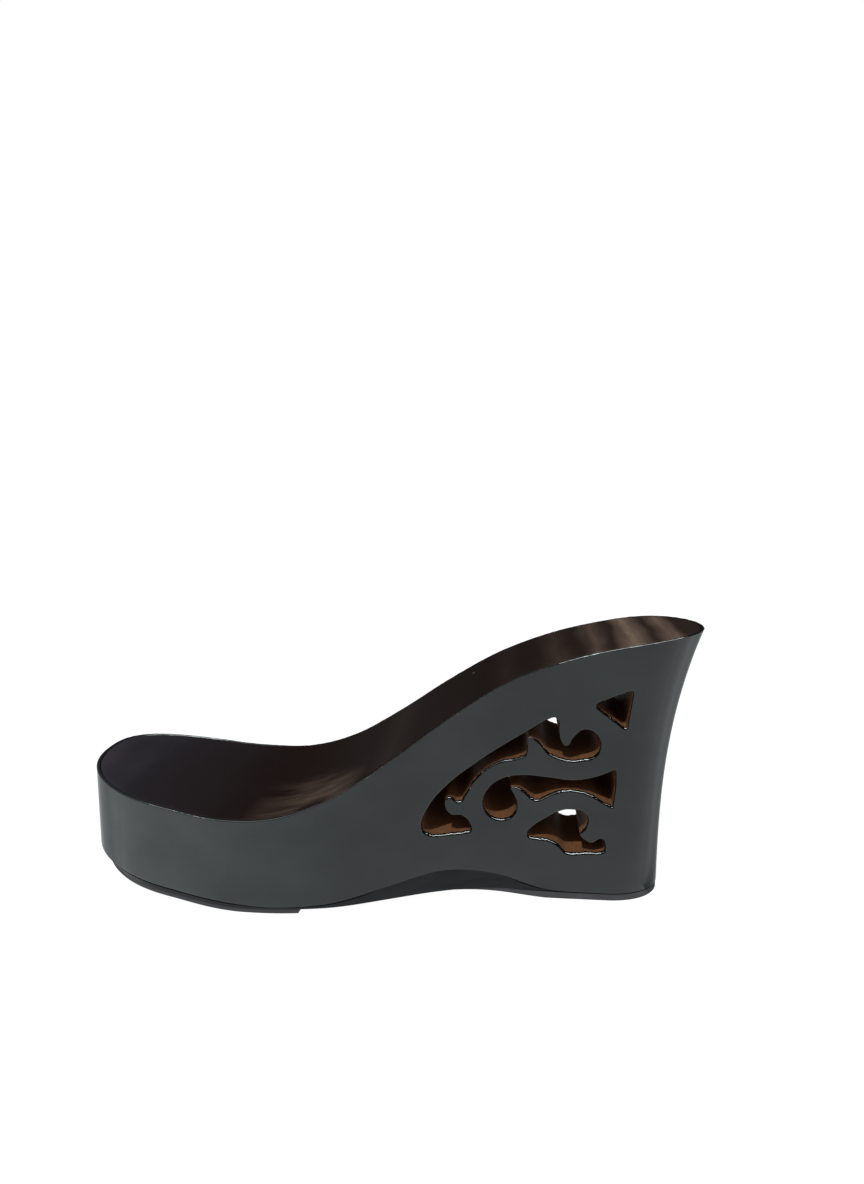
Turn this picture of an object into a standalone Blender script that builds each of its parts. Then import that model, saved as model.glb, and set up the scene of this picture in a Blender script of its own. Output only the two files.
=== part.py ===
"""Sole unit of a wedge shoe, left foot: a lacquered platform wedge with scroll cut-outs through its heel,
a footbed sheet on top, a rubber tread under the forefoot and a rubber lift under the heel.

The toe points along -X, the heel along +X, the outer side of the foot along -Y and +Z is up.
Sizes and tables are in millimetres, and the meshes are made in metres.
The origin is on the floor, under the middle of the whole unit.
"""

import math
from collections import namedtuple

import bmesh
import bpy
import numpy as np

MM = 0.001

# Overall sizes
LENGTH = 234.0
STATION_STEP = 20.0
CROSS_LINE_SKEW = math.radians(3.5)

# Rounding of the outline's two ends, and how far each tip lies from the centre line (inner side positive)
TOE_ROUND = 40.0
TOE_POWER = 2.4
TOE_TIP_OFFSET = 8.5
HEEL_ROUND = 27.0
HEEL_TIP_OFFSET = -2.5

# How far the walls lean in from the top edge to the ground
BACK_FLARE = 13.5
BACK_FLARE_POWER = 2.7
BACK_FLARE_START = 148.0
SIDE_FLARE = 7.0
SIDE_FLARE_START = 96.0
SIDE_FLARE_FULL = 156.0

# The bevel between the lacquered wall and the underside
BEVEL_INSET = 0.6
BEVEL_SLOPE = 0.15
BEVEL_TOE = 1.6

# Underside: toe spring, flat forefoot, low arch, flat heel
TOE_SPRING = 8.6
TOE_SPRING_POWER = 1.4
FLAT_START = 68.0
TREAD_REAR = 90.0
LIFT_FLAT = 180.0
ARCH_RISE = 0.5

# Thin pieces
SEAT_GAP = 0.3
FOOTBED_THICKNESS = 1.2
RIM_WIDTH = 1.2
TREAD_THICKNESS = 1.4
TREAD_INSET = 0.3
LIFT_THICKNESS = 2.2
LIFT_INSET = -0.4
LIFT_FRONT = 141.0
LIFT_FRONT_EDGE = 0.2

# Mesh fineness
TOE_STEPS = 12
HEEL_STEPS = 10
STATION_SPACING = 5.0
WALL_LEVELS = 9
CUT_CURVE_STEPS = 4
SHARP_ANGLE = math.radians(35.0)
WELD_DISTANCE = 0.01
END_MARGIN = 0.5

# The cut-outs run through from the outer to the inner side, dropping and narrowing a little on the way.
# Their outlines are set out on a plane CUT_FACE outside the centre line.
CUT_REACH = 60.0
CUT_DROP = math.radians(1.5)
CUT_MARK = 118.4
CUT_FACE = 25.0

# Sections of the unit, one every STATION_STEP from the toe: distance from the centre line to the outer and
# to the inner edge at the top, height of the top edge, and height where the lacquered wall ends
Section = namedtuple("Section", "outer inner top wall_foot")
SECTIONS = (
    Section(outer=31.3, inner=39.5, top=44.4, wall_foot=13.9),
    Section(outer=33.9, inner=39.8, top=40.3, wall_foot=10.2),
    Section(outer=36.5, inner=41.0, top=37.0, wall_foot=6.7),
    Section(outer=40.0, inner=41.3, top=35.1, wall_foot=4.5),
    Section(outer=40.4, inner=38.1, top=36.6, wall_foot=3.0),
    Section(outer=37.8, inner=34.2, top=43.7, wall_foot=4.1),
    Section(outer=33.7, inner=30.4, top=56.3, wall_foot=7.9),
    Section(outer=29.9, inner=27.1, top=70.7, wall_foot=11.7),
    Section(outer=26.5, inner=24.3, top=83.3, wall_foot=9.0),
    Section(outer=26.2, inner=24.1, top=91.6, wall_foot=3.8),
    Section(outer=26.1, inner=24.0, top=96.9, wall_foot=3.0),
    Section(outer=26.0, inner=24.0, top=100.1, wall_foot=3.0),
    Section(outer=26.0, inner=24.0, top=101.4, wall_foot=3.0),
)

# Outlines of the cut-outs as seen from the outer side: x back from a mark CUT_MARK ahead of the heel's
# back edge, z from the floor.
# A sharp knot is a cusp or a corner, and the curve runs smoothly through the others.
Knot = namedtuple("Knot", "x z sharp", defaults=(False,))
LONG_SCROLL = (
    Knot(17.0, 29.3),
    Knot(19.0, 36.1),
    Knot(25.5, 44.3),
    Knot(37.0, 53.2),
    Knot(53.0, 64.0),
    Knot(63.1, 70.5),
    Knot(64.4, 70.7),
    Knot(65.4, 69.1),
    Knot(65.6, 65.7),
    Knot(66.4, 61.9),
    Knot(68.6, 59.7),
    Knot(71.3, 63.4),
    Knot(75.4, 66.2),
    Knot(80.4, 62.0),
    Knot(79.2, 56.8),
    Knot(73.8, 54.7),
    Knot(69.2, 54.5),
    Knot(65.2, 55.6),
    Knot(61.7, 57.6),
    Knot(60.0, 59.9),
    Knot(57.9, 62.0),
    Knot(55.0, 63.3, True),
    Knot(54.5, 59.3),
    Knot(54.2, 56.4),
    Knot(51.5, 55.0),
    Knot(44.0, 53.0),
    Knot(36.3, 47.1),
    Knot(32.6, 40.9),
    Knot(30.6, 38.2),
    Knot(26.1, 40.3),
    Knot(25.0, 37.9),
    Knot(27.5, 33.0),
    Knot(31.0, 32.4),
    Knot(34.4, 28.1),
    Knot(34.6, 26.3),
    Knot(32.8, 25.8),
    Knot(27.1, 25.8),
    Knot(20.3, 26.2),
    Knot(17.9, 27.6),
)
TRIANGLE = (
    Knot(78.5, 75.3, True),
    Knot(79.1, 76.4, True),
    Knot(90.4, 81.1, True),
    Knot(91.3, 80.8, True),
    Knot(89.9, 68.4, True),
    Knot(89.4, 67.3, True),
    Knot(88.7, 67.3, True),
)
COMMA = (
    Knot(39.0, 36.6),
    Knot(41.0, 42.5),
    Knot(46.3, 46.6),
    Knot(53.0, 47.9),
    Knot(63.0, 47.3),
    Knot(71.0, 46.5),
    Knot(79.5, 48.1),
    Knot(86.3, 51.1, True),
    Knot(86.5, 44.5),
    Knot(85.8, 36.6, True),
    Knot(83.3, 38.0),
    Knot(77.1, 41.5),
    Knot(69.6, 42.9),
    Knot(63.1, 41.0),
    Knot(60.9, 39.7),
    Knot(58.0, 38.6),
    Knot(56.6, 39.3),
    Knot(53.1, 42.4),
    Knot(51.3, 43.2),
    Knot(48.7, 43.3, True),
    Knot(50.1, 40.0),
    Knot(51.2, 36.6),
    Knot(50.3, 32.8),
    Knot(45.4, 30.3),
    Knot(40.6, 32.8),
)
BUD = (
    Knot(55.3, 24.8),
    Knot(56.8, 27.5),
    Knot(62.1, 31.6),
    Knot(67.3, 34.7),
    Knot(70.3, 35.3),
    Knot(75.9, 33.9),
    Knot(77.2, 31.6),
    Knot(76.8, 29.5),
    Knot(74.1, 25.7, True),
    Knot(76.0, 23.5),
    Knot(78.7, 22.3),
    Knot(82.4, 24.0),
    Knot(83.4, 22.6),
    Knot(83.4, 19.7),
    Knot(82.2, 19.1),
    Knot(76.6, 18.7),
    Knot(71.6, 18.1),
    Knot(69.7, 18.4),
    Knot(66.2, 21.6),
    Knot(62.3, 23.4),
    Knot(57.5, 23.8),
)
# Each cut-out with the share of its height that it loses per millimetre inward, from its bottom edge up
CutOut = namedtuple("CutOut", "knots narrowing")
CUT_OUTS = {
    "long_scroll": CutOut(LONG_SCROLL, 0.0025),
    "triangle": CutOut(TRIANGLE, 0.001),
    "comma": CutOut(COMMA, 0.0035),
    "bud": CutOut(BUD, 0.001),
}

# Material of each piece: base colour, roughness
FINISHES = {
    "wedge_body": ((0.012, 0.012, 0.013), 0.06),
    "footbed": ((0.020, 0.013, 0.011), 0.38),
    "forefoot_tread": ((0.014, 0.015, 0.017), 0.75),
    "heel_lift": ((0.014, 0.015, 0.017), 0.75),
}


def clear_scene():
    """Remove every object that the file starts with."""
    for old in list(bpy.data.objects):
        bpy.data.objects.remove(old, do_unlink=True)


def new_collection(name):
    """Return a new collection linked to the scene."""
    collection = bpy.data.collections.new(name)
    bpy.context.scene.collection.children.link(collection)
    return collection


def ease(value, start, end):
    """Rise smoothly from 0 at start to 1 at end."""
    part = np.clip((value - start) / (end - start), 0.0, 1.0)
    return part * part * (3.0 - 2.0 * part)


def section_value(column, station):
    """Read a column of the section table at any distance from the toe, on a smooth curve."""
    values = [getattr(section, column) for section in SECTIONS]
    first = 2.0 * values[0] - values[1]
    last = 2.0 * values[-1] - values[-2]
    padded = np.array([first, *values, last])
    place = np.clip(station / STATION_STEP, 0.0, len(values) - 1.000001)
    index = np.floor(place).astype(int)
    part = place - index
    before, here, after, beyond = (padded[index + shift] for shift in range(4))
    slope_here = 0.5 * (after - before)
    slope_after = 0.5 * (beyond - here)
    rise = after - here
    curve = slope_here + part * (3.0 * rise - 2.0 * slope_here - slope_after)
    curve += part * part * (slope_here + slope_after - 2.0 * rise)
    return here + part * curve


def end_fullness(station):
    """Fraction of the full width at a station: rounded off at toe and heel, 1 between them."""
    toe = np.clip(station / TOE_ROUND, 0.0, 1.0)
    heel = np.clip((LENGTH - station) / HEEL_ROUND, 0.0, 1.0)
    toe_part = (1.0 - (1.0 - toe) ** TOE_POWER) ** (1.0 / TOE_POWER)
    return toe_part * np.sqrt(1.0 - (1.0 - heel) ** 2)


def centre_offset(station):
    """Distance of the outline's tip line from the centre line, near each end."""
    toe = np.where(station < TOE_ROUND, TOE_TIP_OFFSET, 0.0)
    heel = np.where(station > LENGTH - HEEL_ROUND, HEEL_TIP_OFFSET, 0.0)
    return toe + heel


def inset_stations(station, toe_inset, heel_inset):
    """Move stations in from both tips, so that the round ends keep an even inset."""
    toe = np.clip(1.0 - station / TOE_ROUND, 0.0, 1.0)
    heel = np.clip(1.0 - (LENGTH - station) / HEEL_ROUND, 0.0, 1.0)
    return station + toe_inset * toe - heel_inset * heel


def edge_distance(column, station, level, inset):
    """Distance from the centre line to one side of the outline, at a level from 0 (foot) to 1 (top)."""
    sign = 1.0 if column == "inner" else -1.0
    flare = SIDE_FLARE * ease(station, SIDE_FLARE_START, SIDE_FLARE_FULL) * (1.0 - level**2)
    full = section_value(column, station) - flare - inset
    tip = sign * centre_offset(station)
    return tip + (full - tip) * end_fullness(station)


def length_shift(station, level):
    """Movement along X of a wall point below the top edge, by the heel's flare."""
    heel = np.clip((station - BACK_FLARE_START) / (LENGTH - BACK_FLARE_START), 0.0, 1.0)
    return -BACK_FLARE * heel**2 * (1.0 - level**BACK_FLARE_POWER)


def underside_height(station):
    """Height of the block's underside: toe spring, flat forefoot, low arch, flat heel."""
    ahead = np.clip((FLAT_START - station) / FLAT_START, 0.0, 1.0)
    arch_place = np.clip((station - TREAD_REAR) / (LIFT_FLAT - TREAD_REAR), 0.0, 1.0)
    forefoot = TREAD_THICKNESS + SEAT_GAP
    heel = LIFT_THICKNESS + SEAT_GAP
    rest = forefoot + (heel - forefoot) * ease(station, TREAD_REAR, LIFT_FLAT)
    return rest + TOE_SPRING * ahead**TOE_SPRING_POWER + ARCH_RISE * np.sin(math.pi * arch_place) ** 2


def band_inset(stations):
    """How far the underside's edge lies in from the wall's foot: with the band's height, and more at the toe."""
    band = section_value("wall_foot", stations) - underside_height(stations)
    toe = np.clip(1.0 - stations / TOE_ROUND, 0.0, 1.0)
    return BEVEL_INSET + BEVEL_SLOPE * band + BEVEL_TOE * toe**2


def top_height(station, side):
    """Height of the block's top edge. Lines of equal height cross the foot at the skew of the ball line."""
    return section_value("top", station + side * math.tan(CROSS_LINE_SKEW))


def stations_between(start, end):
    """Distances from the toe at which sections are set: close together on the round ends."""
    toe_angles = np.linspace(0.0, 0.5 * math.pi, TOE_STEPS + 1)
    heel_angles = np.linspace(0.5 * math.pi, 0.0, HEEL_STEPS + 1)
    toe = TOE_ROUND * (1.0 - np.cos(toe_angles))
    heel = LENGTH - HEEL_ROUND * (1.0 - np.cos(heel_angles))
    middle_steps = round((heel[0] - toe[-1]) / STATION_SPACING)
    middle = np.linspace(toe[-1], heel[0], middle_steps + 1)
    every = np.concatenate([toe[:-1], middle, heel[1:]])
    inside = every[(every > start + END_MARGIN) & (every < end - END_MARGIN)]
    return np.concatenate([[start], inside, [end]])


def wall_ring(stations, level, inset=0.0, height=None):
    """Return the outer and inner edge points of one level, as two arrays running from toe to heel."""
    inset = np.broadcast_to(inset, stations.shape)
    along = inset_stations(stations, inset[0], inset[-1])
    x = along - 0.5 * LENGTH + length_shift(along, level)
    foot = section_value("wall_foot", along)
    sides = []
    for column, sign in (("outer", -1.0), ("inner", 1.0)):
        y = sign * edge_distance(column, stations, level, inset)
        z = foot + level * (top_height(along, y) - foot) if height is None else height(along, y)
        sides.append(np.stack([x, y, z], axis=1))
    return sides


def ring_verts(mesh, ring, centre_y):
    """Add a ring's points to the mesh, in metres. Its two sides share one vertex at a tip."""
    shift = np.array([0.0, -centre_y, 0.0])
    outer_points, inner_points = ring
    outer = [mesh.verts.new((point + shift) * MM) for point in outer_points]
    inner = []
    for vert, outer_point, inner_point in zip(outer, outer_points, inner_points):
        is_tip = np.allclose(outer_point, inner_point, atol=1e-6)
        inner.append(vert if is_tip else mesh.verts.new((inner_point + shift) * MM))
    return outer, inner


def lofted_mesh(name, rings, centre_y):
    """Loft closed rings from bottom to top, and close both ends with strips across the unit."""
    mesh = bmesh.new()
    sides = [ring_verts(mesh, ring, centre_y) for ring in rings]
    loops = [list(dict.fromkeys(outer + inner[::-1])) for outer, inner in sides]
    for lower, upper in zip(loops, loops[1:]):
        for index in range(len(lower)):
            after = (index + 1) % len(lower)
            mesh.faces.new((lower[index], lower[after], upper[after], upper[index]))
    for outer, inner in (sides[0], sides[-1]):
        for index in range(len(outer) - 1):
            corners = (outer[index], outer[index + 1], inner[index + 1], inner[index])
            mesh.faces.new(list(dict.fromkeys(corners)))
    bmesh.ops.recalc_face_normals(mesh, faces=mesh.faces)
    data = bpy.data.meshes.new(name)
    mesh.to_mesh(data)
    mesh.free()
    data.shade_smooth()
    data.set_sharp_from_angle(angle=SHARP_ANGLE)
    return data


def finish_material(name):
    """Return the piece's own material."""
    colour, roughness = FINISHES[name]
    material = bpy.data.materials.new(name + "_finish")
    material.use_nodes = True
    shader = material.node_tree.nodes["Principled BSDF"]
    shader.inputs["Base Color"].default_value = (*colour, 1.0)
    shader.inputs["Roughness"].default_value = roughness
    shader.inputs["Metallic"].default_value = 0.0
    return material


def add_piece(name, rings, centre_y, collection, parent):
    """Make one piece of the unit as a named object with its own material."""
    piece = bpy.data.objects.new(name, lofted_mesh(name, rings, centre_y))
    piece.data.materials.append(finish_material(name))
    piece.parent = parent
    collection.objects.link(piece)
    return piece


def body_rings():
    """Rings of the block: the underside, the lacquered wall from foot to rim, and the footbed's recess."""
    stations = stations_between(0.0, LENGTH)
    rings = [wall_ring(stations, 0.0, band_inset(stations), lambda along, side: underside_height(along))]
    for level in np.linspace(0.0, 1.0, WALL_LEVELS):
        rings.append(wall_ring(stations, level))
    for drop in (0.0, FOOTBED_THICKNESS + SEAT_GAP):
        rings.append(
            wall_ring(stations, 1.0, RIM_WIDTH, lambda along, side: top_height(along, side) - drop)
        )
    return rings


def footbed_rings():
    """Rings of the footbed sheet, which lies in the block's recess, level with its rim."""
    inset = RIM_WIDTH + SEAT_GAP
    stations = stations_between(0.0, LENGTH)
    rings = []
    for drop in (FOOTBED_THICKNESS, 0.0):
        rings.append(wall_ring(stations, 1.0, inset, lambda along, side: top_height(along, side) - drop))
    return rings


def underside_piece_rings(stations, inset, thickness):
    """Rings of a rubber piece under the block, from its bottom to its top."""
    inset = band_inset(stations) + inset
    rings = []
    for drop in (SEAT_GAP + thickness, SEAT_GAP):
        rings.append(wall_ring(stations, 0.0, inset, lambda along, side: underside_height(along) - drop))
    return rings


def tread_rings():
    """Rings of the forefoot tread, from near the toe tip to a straight rear edge."""
    return underside_piece_rings(stations_between(0.0, TREAD_REAR), TREAD_INSET, TREAD_THICKNESS)


def lift_rings():
    """Rings of the heel lift, which is pared under the arch to a thin front edge."""
    stations = stations_between(LIFT_FRONT, LENGTH)
    part = np.clip((stations - LIFT_FRONT) / (LIFT_FLAT - LIFT_FRONT), 0.0, 1.0)
    thickness = LIFT_FRONT_EDGE + (LIFT_THICKNESS - LIFT_FRONT_EDGE) * part
    return underside_piece_rings(stations, LIFT_INSET, thickness)


def cut_out_cutter(name, cut_out, collection):
    """Make the solid that cuts one scroll: its outline as a filled curve, extruded across the unit."""
    knots = cut_out.knots
    curve = bpy.data.curves.new(name, "CURVE")
    curve.dimensions = "2D"
    curve.fill_mode = "BOTH"
    curve.extrude = CUT_REACH * MM
    curve.resolution_u = CUT_CURVE_STEPS
    spline = curve.splines.new("BEZIER")
    spline.bezier_points.add(len(knots) - 1)
    spline.use_cyclic_u = True
    for point, knot in zip(spline.bezier_points, knots):
        point.co = ((knot.x + 0.5 * LENGTH - CUT_MARK) * MM, knot.z * MM, 0.0)
        kind = "VECTOR" if knot.sharp else "AUTO"
        point.handle_left_type = kind
        point.handle_right_type = kind
    outline = bpy.data.objects.new(name + "_outline", curve)
    collection.objects.link(outline)
    outline.location = (0.0, -CUT_FACE * MM, 0.0)
    outline.rotation_euler = (0.5 * math.pi - CUT_DROP, 0.0, 0.0)
    bpy.context.view_layer.update()

    evaluated = outline.evaluated_get(bpy.context.evaluated_depsgraph_get())
    solid = bpy.data.meshes.new_from_object(evaluated)
    matrix = outline.matrix_world.copy()
    bpy.data.objects.remove(outline, do_unlink=True)
    welded = bmesh.new()
    welded.from_mesh(solid)
    bmesh.ops.remove_doubles(welded, verts=welded.verts, dist=WELD_DISTANCE * MM)
    top = max(vert.co.y for vert in welded.verts)
    for vert in welded.verts:
        inward = -vert.co.z / MM
        vert.co.y = top + (vert.co.y - top) * (1.0 - cut_out.narrowing * inward)
    bmesh.ops.recalc_face_normals(welded, faces=welded.faces)
    welded.to_mesh(solid)
    welded.free()

    cutter = bpy.data.objects.new(name + "_cutter", solid)
    cutter.matrix_world = matrix
    cutter.hide_render = True
    cutter.display_type = "WIRE"
    collection.objects.link(cutter)
    return cutter


def main():
    """Build the four pieces and cut the scrolls through the block."""
    clear_scene()
    pieces = new_collection("wedge_sole_unit")
    cutters = new_collection("wedge_sole_unit_cutters")
    unit = bpy.data.objects.new("wedge_sole_unit_origin", None)
    pieces.objects.link(unit)

    stations = stations_between(0.0, LENGTH)
    outer, inner = wall_ring(stations, 1.0)
    centre_y = 0.5 * (outer[:, 1].min() + inner[:, 1].max())

    body = add_piece("wedge_body", body_rings(), centre_y, pieces, unit)
    add_piece("footbed", footbed_rings(), centre_y, pieces, unit)
    add_piece("forefoot_tread", tread_rings(), centre_y, pieces, unit)
    add_piece("heel_lift", lift_rings(), centre_y, pieces, unit)

    for name, cut_out in CUT_OUTS.items():
        cutter = cut_out_cutter(name, cut_out, cutters)
        cut = body.modifiers.new(name, "BOOLEAN")
        cut.operation = "DIFFERENCE"
        cut.solver = "EXACT"
        cut.object = cutter


main()
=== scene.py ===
"""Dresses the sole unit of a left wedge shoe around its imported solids.

Each solid is made again, finely and with rounded edges, as the piece that shows: the lacquered block with its
scrolls, the footbed, the forefoot tread and the heel lift. Then comes the stage.
Laid out as an add-on and run as a script. Tables and shape functions are in millimetres, meshes in metres.
"""

import math
from collections import namedtuple

import bmesh
import bpy
import numpy as np
from bpy.props import FloatProperty, FloatVectorProperty, PointerProperty
from bpy.types import Operator, Panel, PropertyGroup
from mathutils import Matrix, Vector, noise
from mathutils.geometry import delaunay_2d_cdt


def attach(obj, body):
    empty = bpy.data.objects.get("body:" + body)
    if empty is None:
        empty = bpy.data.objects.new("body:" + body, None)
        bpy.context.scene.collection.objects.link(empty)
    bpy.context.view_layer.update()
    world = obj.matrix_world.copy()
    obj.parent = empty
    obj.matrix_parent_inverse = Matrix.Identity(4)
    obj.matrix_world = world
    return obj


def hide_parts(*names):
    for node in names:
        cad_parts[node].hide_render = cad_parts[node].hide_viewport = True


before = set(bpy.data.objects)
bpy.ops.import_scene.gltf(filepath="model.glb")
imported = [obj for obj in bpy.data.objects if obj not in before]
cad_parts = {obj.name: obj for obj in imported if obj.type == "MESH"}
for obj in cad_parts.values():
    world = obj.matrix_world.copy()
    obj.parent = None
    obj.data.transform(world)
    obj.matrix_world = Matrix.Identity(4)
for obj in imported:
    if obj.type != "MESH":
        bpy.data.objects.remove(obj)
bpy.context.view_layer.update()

bl_info = {
    "name": "Wedge shoe sole unit",
    "version": (1, 0, 0),
    "blender": (4, 5, 0),
    "location": "3D View > Sidebar > Sole unit",
    "description": "Lacquered wedge with scroll cut-outs, footbed, tread and heel lift, and their stage",
    "category": "Object",
}

MM = 0.001
BODY = "root"

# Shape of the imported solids
LENGTH = 234.0
STATION_STEP = 20.0
CROSS_LINE_SKEW = math.radians(3.5)
TOE_ROUND = 40.0
TOE_POWER = 2.4
TOE_TIP_OFFSET = 8.5
HEEL_ROUND = 27.0
HEEL_TIP_OFFSET = -2.5
BACK_FLARE = 13.5
BACK_FLARE_POWER = 2.7
BACK_FLARE_START = 148.0
SIDE_FLARE = 7.0
SIDE_FLARE_START = 96.0
SIDE_FLARE_FULL = 156.0
BEVEL_INSET = 0.6
BEVEL_SLOPE = 0.15
BEVEL_TOE = 1.6
TOE_SPRING = 8.6
TOE_SPRING_POWER = 1.4
FLAT_START = 68.0
TREAD_REAR = 90.0
LIFT_FLAT = 180.0
ARCH_RISE = 0.5
SEAT_GAP = 0.3
FOOTBED_THICKNESS = 1.2
RIM_WIDTH = 1.2
TREAD_THICKNESS = 1.4
TREAD_INSET = 0.3
LIFT_THICKNESS = 2.2
LIFT_INSET = -0.4
LIFT_FRONT = 141.0
LIFT_FRONT_EDGE = 0.2
CUT_DROP = math.radians(1.5)
CUT_MARK = 118.4
CUT_FACE = 25.0

# Where the dressed rubber departs from its solids: how far the lift's front is tucked in, and how far each
# piece reaches up to close its seam
LIFT_TUCK = 1.2
SEAT_RAISED = 0.22
# Ribs round the heel: part of its rounding where they are full, and the parts of the lift's side, from the
# top and from the bottom, over which they fade in
RIB_FULL = 0.6
RIB_TOP = (0.1, 0.3)
RIB_BOTTOM = (0.05, 0.25)

# Sections of the unit, one every STATION_STEP from the toe: distance from the centre line to the outer and
# to the inner edge at the top, height of the top edge, and height where the lacquered wall ends
Section = namedtuple("Section", "outer inner top wall_foot")
SECTIONS = (
    Section(outer=31.3, inner=39.5, top=44.4, wall_foot=13.9),
    Section(outer=33.9, inner=39.8, top=40.3, wall_foot=10.2),
    Section(outer=36.5, inner=41.0, top=37.0, wall_foot=6.7),
    Section(outer=40.0, inner=41.3, top=35.1, wall_foot=4.5),
    Section(outer=40.4, inner=38.1, top=36.6, wall_foot=3.0),
    Section(outer=37.8, inner=34.2, top=43.7, wall_foot=4.1),
    Section(outer=33.7, inner=30.4, top=56.3, wall_foot=7.9),
    Section(outer=29.9, inner=27.1, top=70.7, wall_foot=11.7),
    Section(outer=26.5, inner=24.3, top=83.3, wall_foot=9.0),
    Section(outer=26.2, inner=24.1, top=91.6, wall_foot=3.8),
    Section(outer=26.1, inner=24.0, top=96.9, wall_foot=3.0),
    Section(outer=26.0, inner=24.0, top=100.1, wall_foot=3.0),
    Section(outer=26.0, inner=24.0, top=101.4, wall_foot=3.0),
)

# Outlines of the cut-outs as seen from the outer side: x back from a mark CUT_MARK ahead of the heel's
# back edge, z from the floor. A sharp knot is a cusp or a corner.
Knot = namedtuple("Knot", "x z sharp", defaults=(False,))
LONG_SCROLL = (
    Knot(17.0, 29.3),
    Knot(19.0, 36.1),
    Knot(25.5, 44.3),
    Knot(37.0, 53.2),
    Knot(53.0, 64.0),
    Knot(63.1, 70.5),
    Knot(64.4, 70.7),
    Knot(65.4, 69.1),
    Knot(65.6, 65.7),
    Knot(66.4, 61.9),
    Knot(68.6, 59.7),
    Knot(71.3, 63.4),
    Knot(75.4, 66.2),
    Knot(80.4, 62.0),
    Knot(79.2, 56.8),
    Knot(73.8, 54.7),
    Knot(69.2, 54.5),
    Knot(65.2, 55.6),
    Knot(61.7, 57.6),
    Knot(60.0, 59.9),
    Knot(57.9, 62.0),
    Knot(55.0, 63.3, True),
    Knot(54.5, 59.3),
    Knot(54.2, 56.4),
    Knot(51.5, 55.0),
    Knot(44.0, 53.0),
    Knot(36.3, 47.1),
    Knot(32.6, 40.9),
    Knot(30.6, 38.2),
    Knot(26.1, 40.3),
    Knot(25.0, 37.9),
    Knot(27.5, 33.0),
    Knot(31.0, 32.4),
    Knot(34.4, 28.1),
    Knot(34.6, 26.3),
    Knot(32.8, 25.8),
    Knot(27.1, 25.8),
    Knot(20.3, 26.2),
    Knot(17.9, 27.6),
)
TRIANGLE = (
    Knot(78.5, 75.3, True),
    Knot(79.1, 76.4, True),
    Knot(90.4, 81.1, True),
    Knot(91.3, 80.8, True),
    Knot(89.9, 68.4, True),
    Knot(89.4, 67.3, True),
    Knot(88.7, 67.3, True),
)
COMMA = (
    Knot(39.0, 36.6),
    Knot(41.0, 42.5),
    Knot(46.3, 46.6),
    Knot(53.0, 47.9),
    Knot(63.0, 47.3),
    Knot(71.0, 46.5),
    Knot(79.5, 48.1),
    Knot(86.3, 51.1, True),
    Knot(86.5, 44.5),
    Knot(85.8, 36.6, True),
    Knot(83.3, 38.0),
    Knot(77.1, 41.5),
    Knot(69.6, 42.9),
    Knot(63.1, 41.0),
    Knot(60.9, 39.7),
    Knot(58.0, 38.6),
    Knot(56.6, 39.3),
    Knot(53.1, 42.4),
    Knot(51.3, 43.2),
    Knot(48.7, 43.3, True),
    Knot(50.1, 40.0),
    Knot(51.2, 36.6),
    Knot(50.3, 32.8),
    Knot(45.4, 30.3),
    Knot(40.6, 32.8),
)
BUD = (
    Knot(55.3, 24.8),
    Knot(56.8, 27.5),
    Knot(62.1, 31.6),
    Knot(67.3, 34.7),
    Knot(70.3, 35.3),
    Knot(75.9, 33.9),
    Knot(77.2, 31.6),
    Knot(76.8, 29.5),
    Knot(74.1, 25.7, True),
    Knot(76.0, 23.5),
    Knot(78.7, 22.3),
    Knot(82.4, 24.0),
    Knot(83.4, 22.6),
    Knot(83.4, 19.7),
    Knot(82.2, 19.1),
    Knot(76.6, 18.7),
    Knot(71.6, 18.1),
    Knot(69.7, 18.4),
    Knot(66.2, 21.6),
    Knot(62.3, 23.4),
    Knot(57.5, 23.8),
)
# Each cut-out with the share of its height that it loses per millimetre inward, from its bottom edge up, and
# the size of its far lip against the near one
CutOut = namedtuple("CutOut", "knots narrowing far_lip", defaults=(1.0,))
CUT_OUTS = {
    "long_scroll": CutOut(LONG_SCROLL, 0.0025),
    "triangle": CutOut(TRIANGLE, 0.001),
    "comma": CutOut(COMMA, 0.0035, 0.15),
    "bud": CutOut(BUD, 0.001),
}

# Fineness of the dressed meshes
TOE_STEPS = 72
HEEL_STEPS = 54
STATION_SPACING = 0.6
STATION_MARGIN = 0.3 * STATION_SPACING
WALL_STEPS = 36
RIM_SUPPORT = 0.002
ROUND_STEPS = 4
FOOTBED_COLUMNS = 30
OUTLINE_SPACING = 0.36
OUTLINE_STEPS = 24
OUTLINE_SOFTENING = 3
TUNNEL_STEPS = 8
LIFT_HEEL_STEPS = 130
LIFT_SIDE_STEPS = 8
TIP_MEETS = 1e-6
INVERSE_STEPS = 24
MEETING_STEPS = 5
SHARP_ANGLE = math.radians(35.0)

# The part of the wall that is filled with triangles round the scrolls
PATCH_STATIONS = (124.0, 222.0)
PATCH_RISES = (0.06, 0.93)
PATCH_HEIGHT = 85.0
PATCH_CLEARANCE = 1.0
PATCH_WELD = 1e-7

# The rim's ripple: part of the rim's width, at each edge, over which it fades in, and its waves, each with
# its fineness and its height
RIPPLE_SHARE = 0.35
RIPPLE_WAVES = ((0.6, 1.0), (1.1, 0.5))

# Shape of the lips: the apron of wall kept round each lip, and how far a lip may fill a pointed tongue
LIP_APRON = 1.5
LIP_SHARE = 0.6
LIP_WINDOW = 3
LIP_SOFTENING = 6
THROAT_DEPTH = 1.0
RUN_PITCH = 0.75
LIP_EDGE_PITCH = 1.7

# The joint between the lacquered wall and the band below it: rounding of the wall's foot, height and depth of
# the groove, the share of the band that they may take where it is low, and the heights over which they fade
# and how much of them is then gone
FOOT_ROUND = 0.3
JOINT_HEIGHT = 0.6
JOINT_DEPTH = 0.8
JOINT_SHARE = 0.4
JOINT_FADE = (3.9, 5.5)
JOINT_FADED = 0.9

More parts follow.
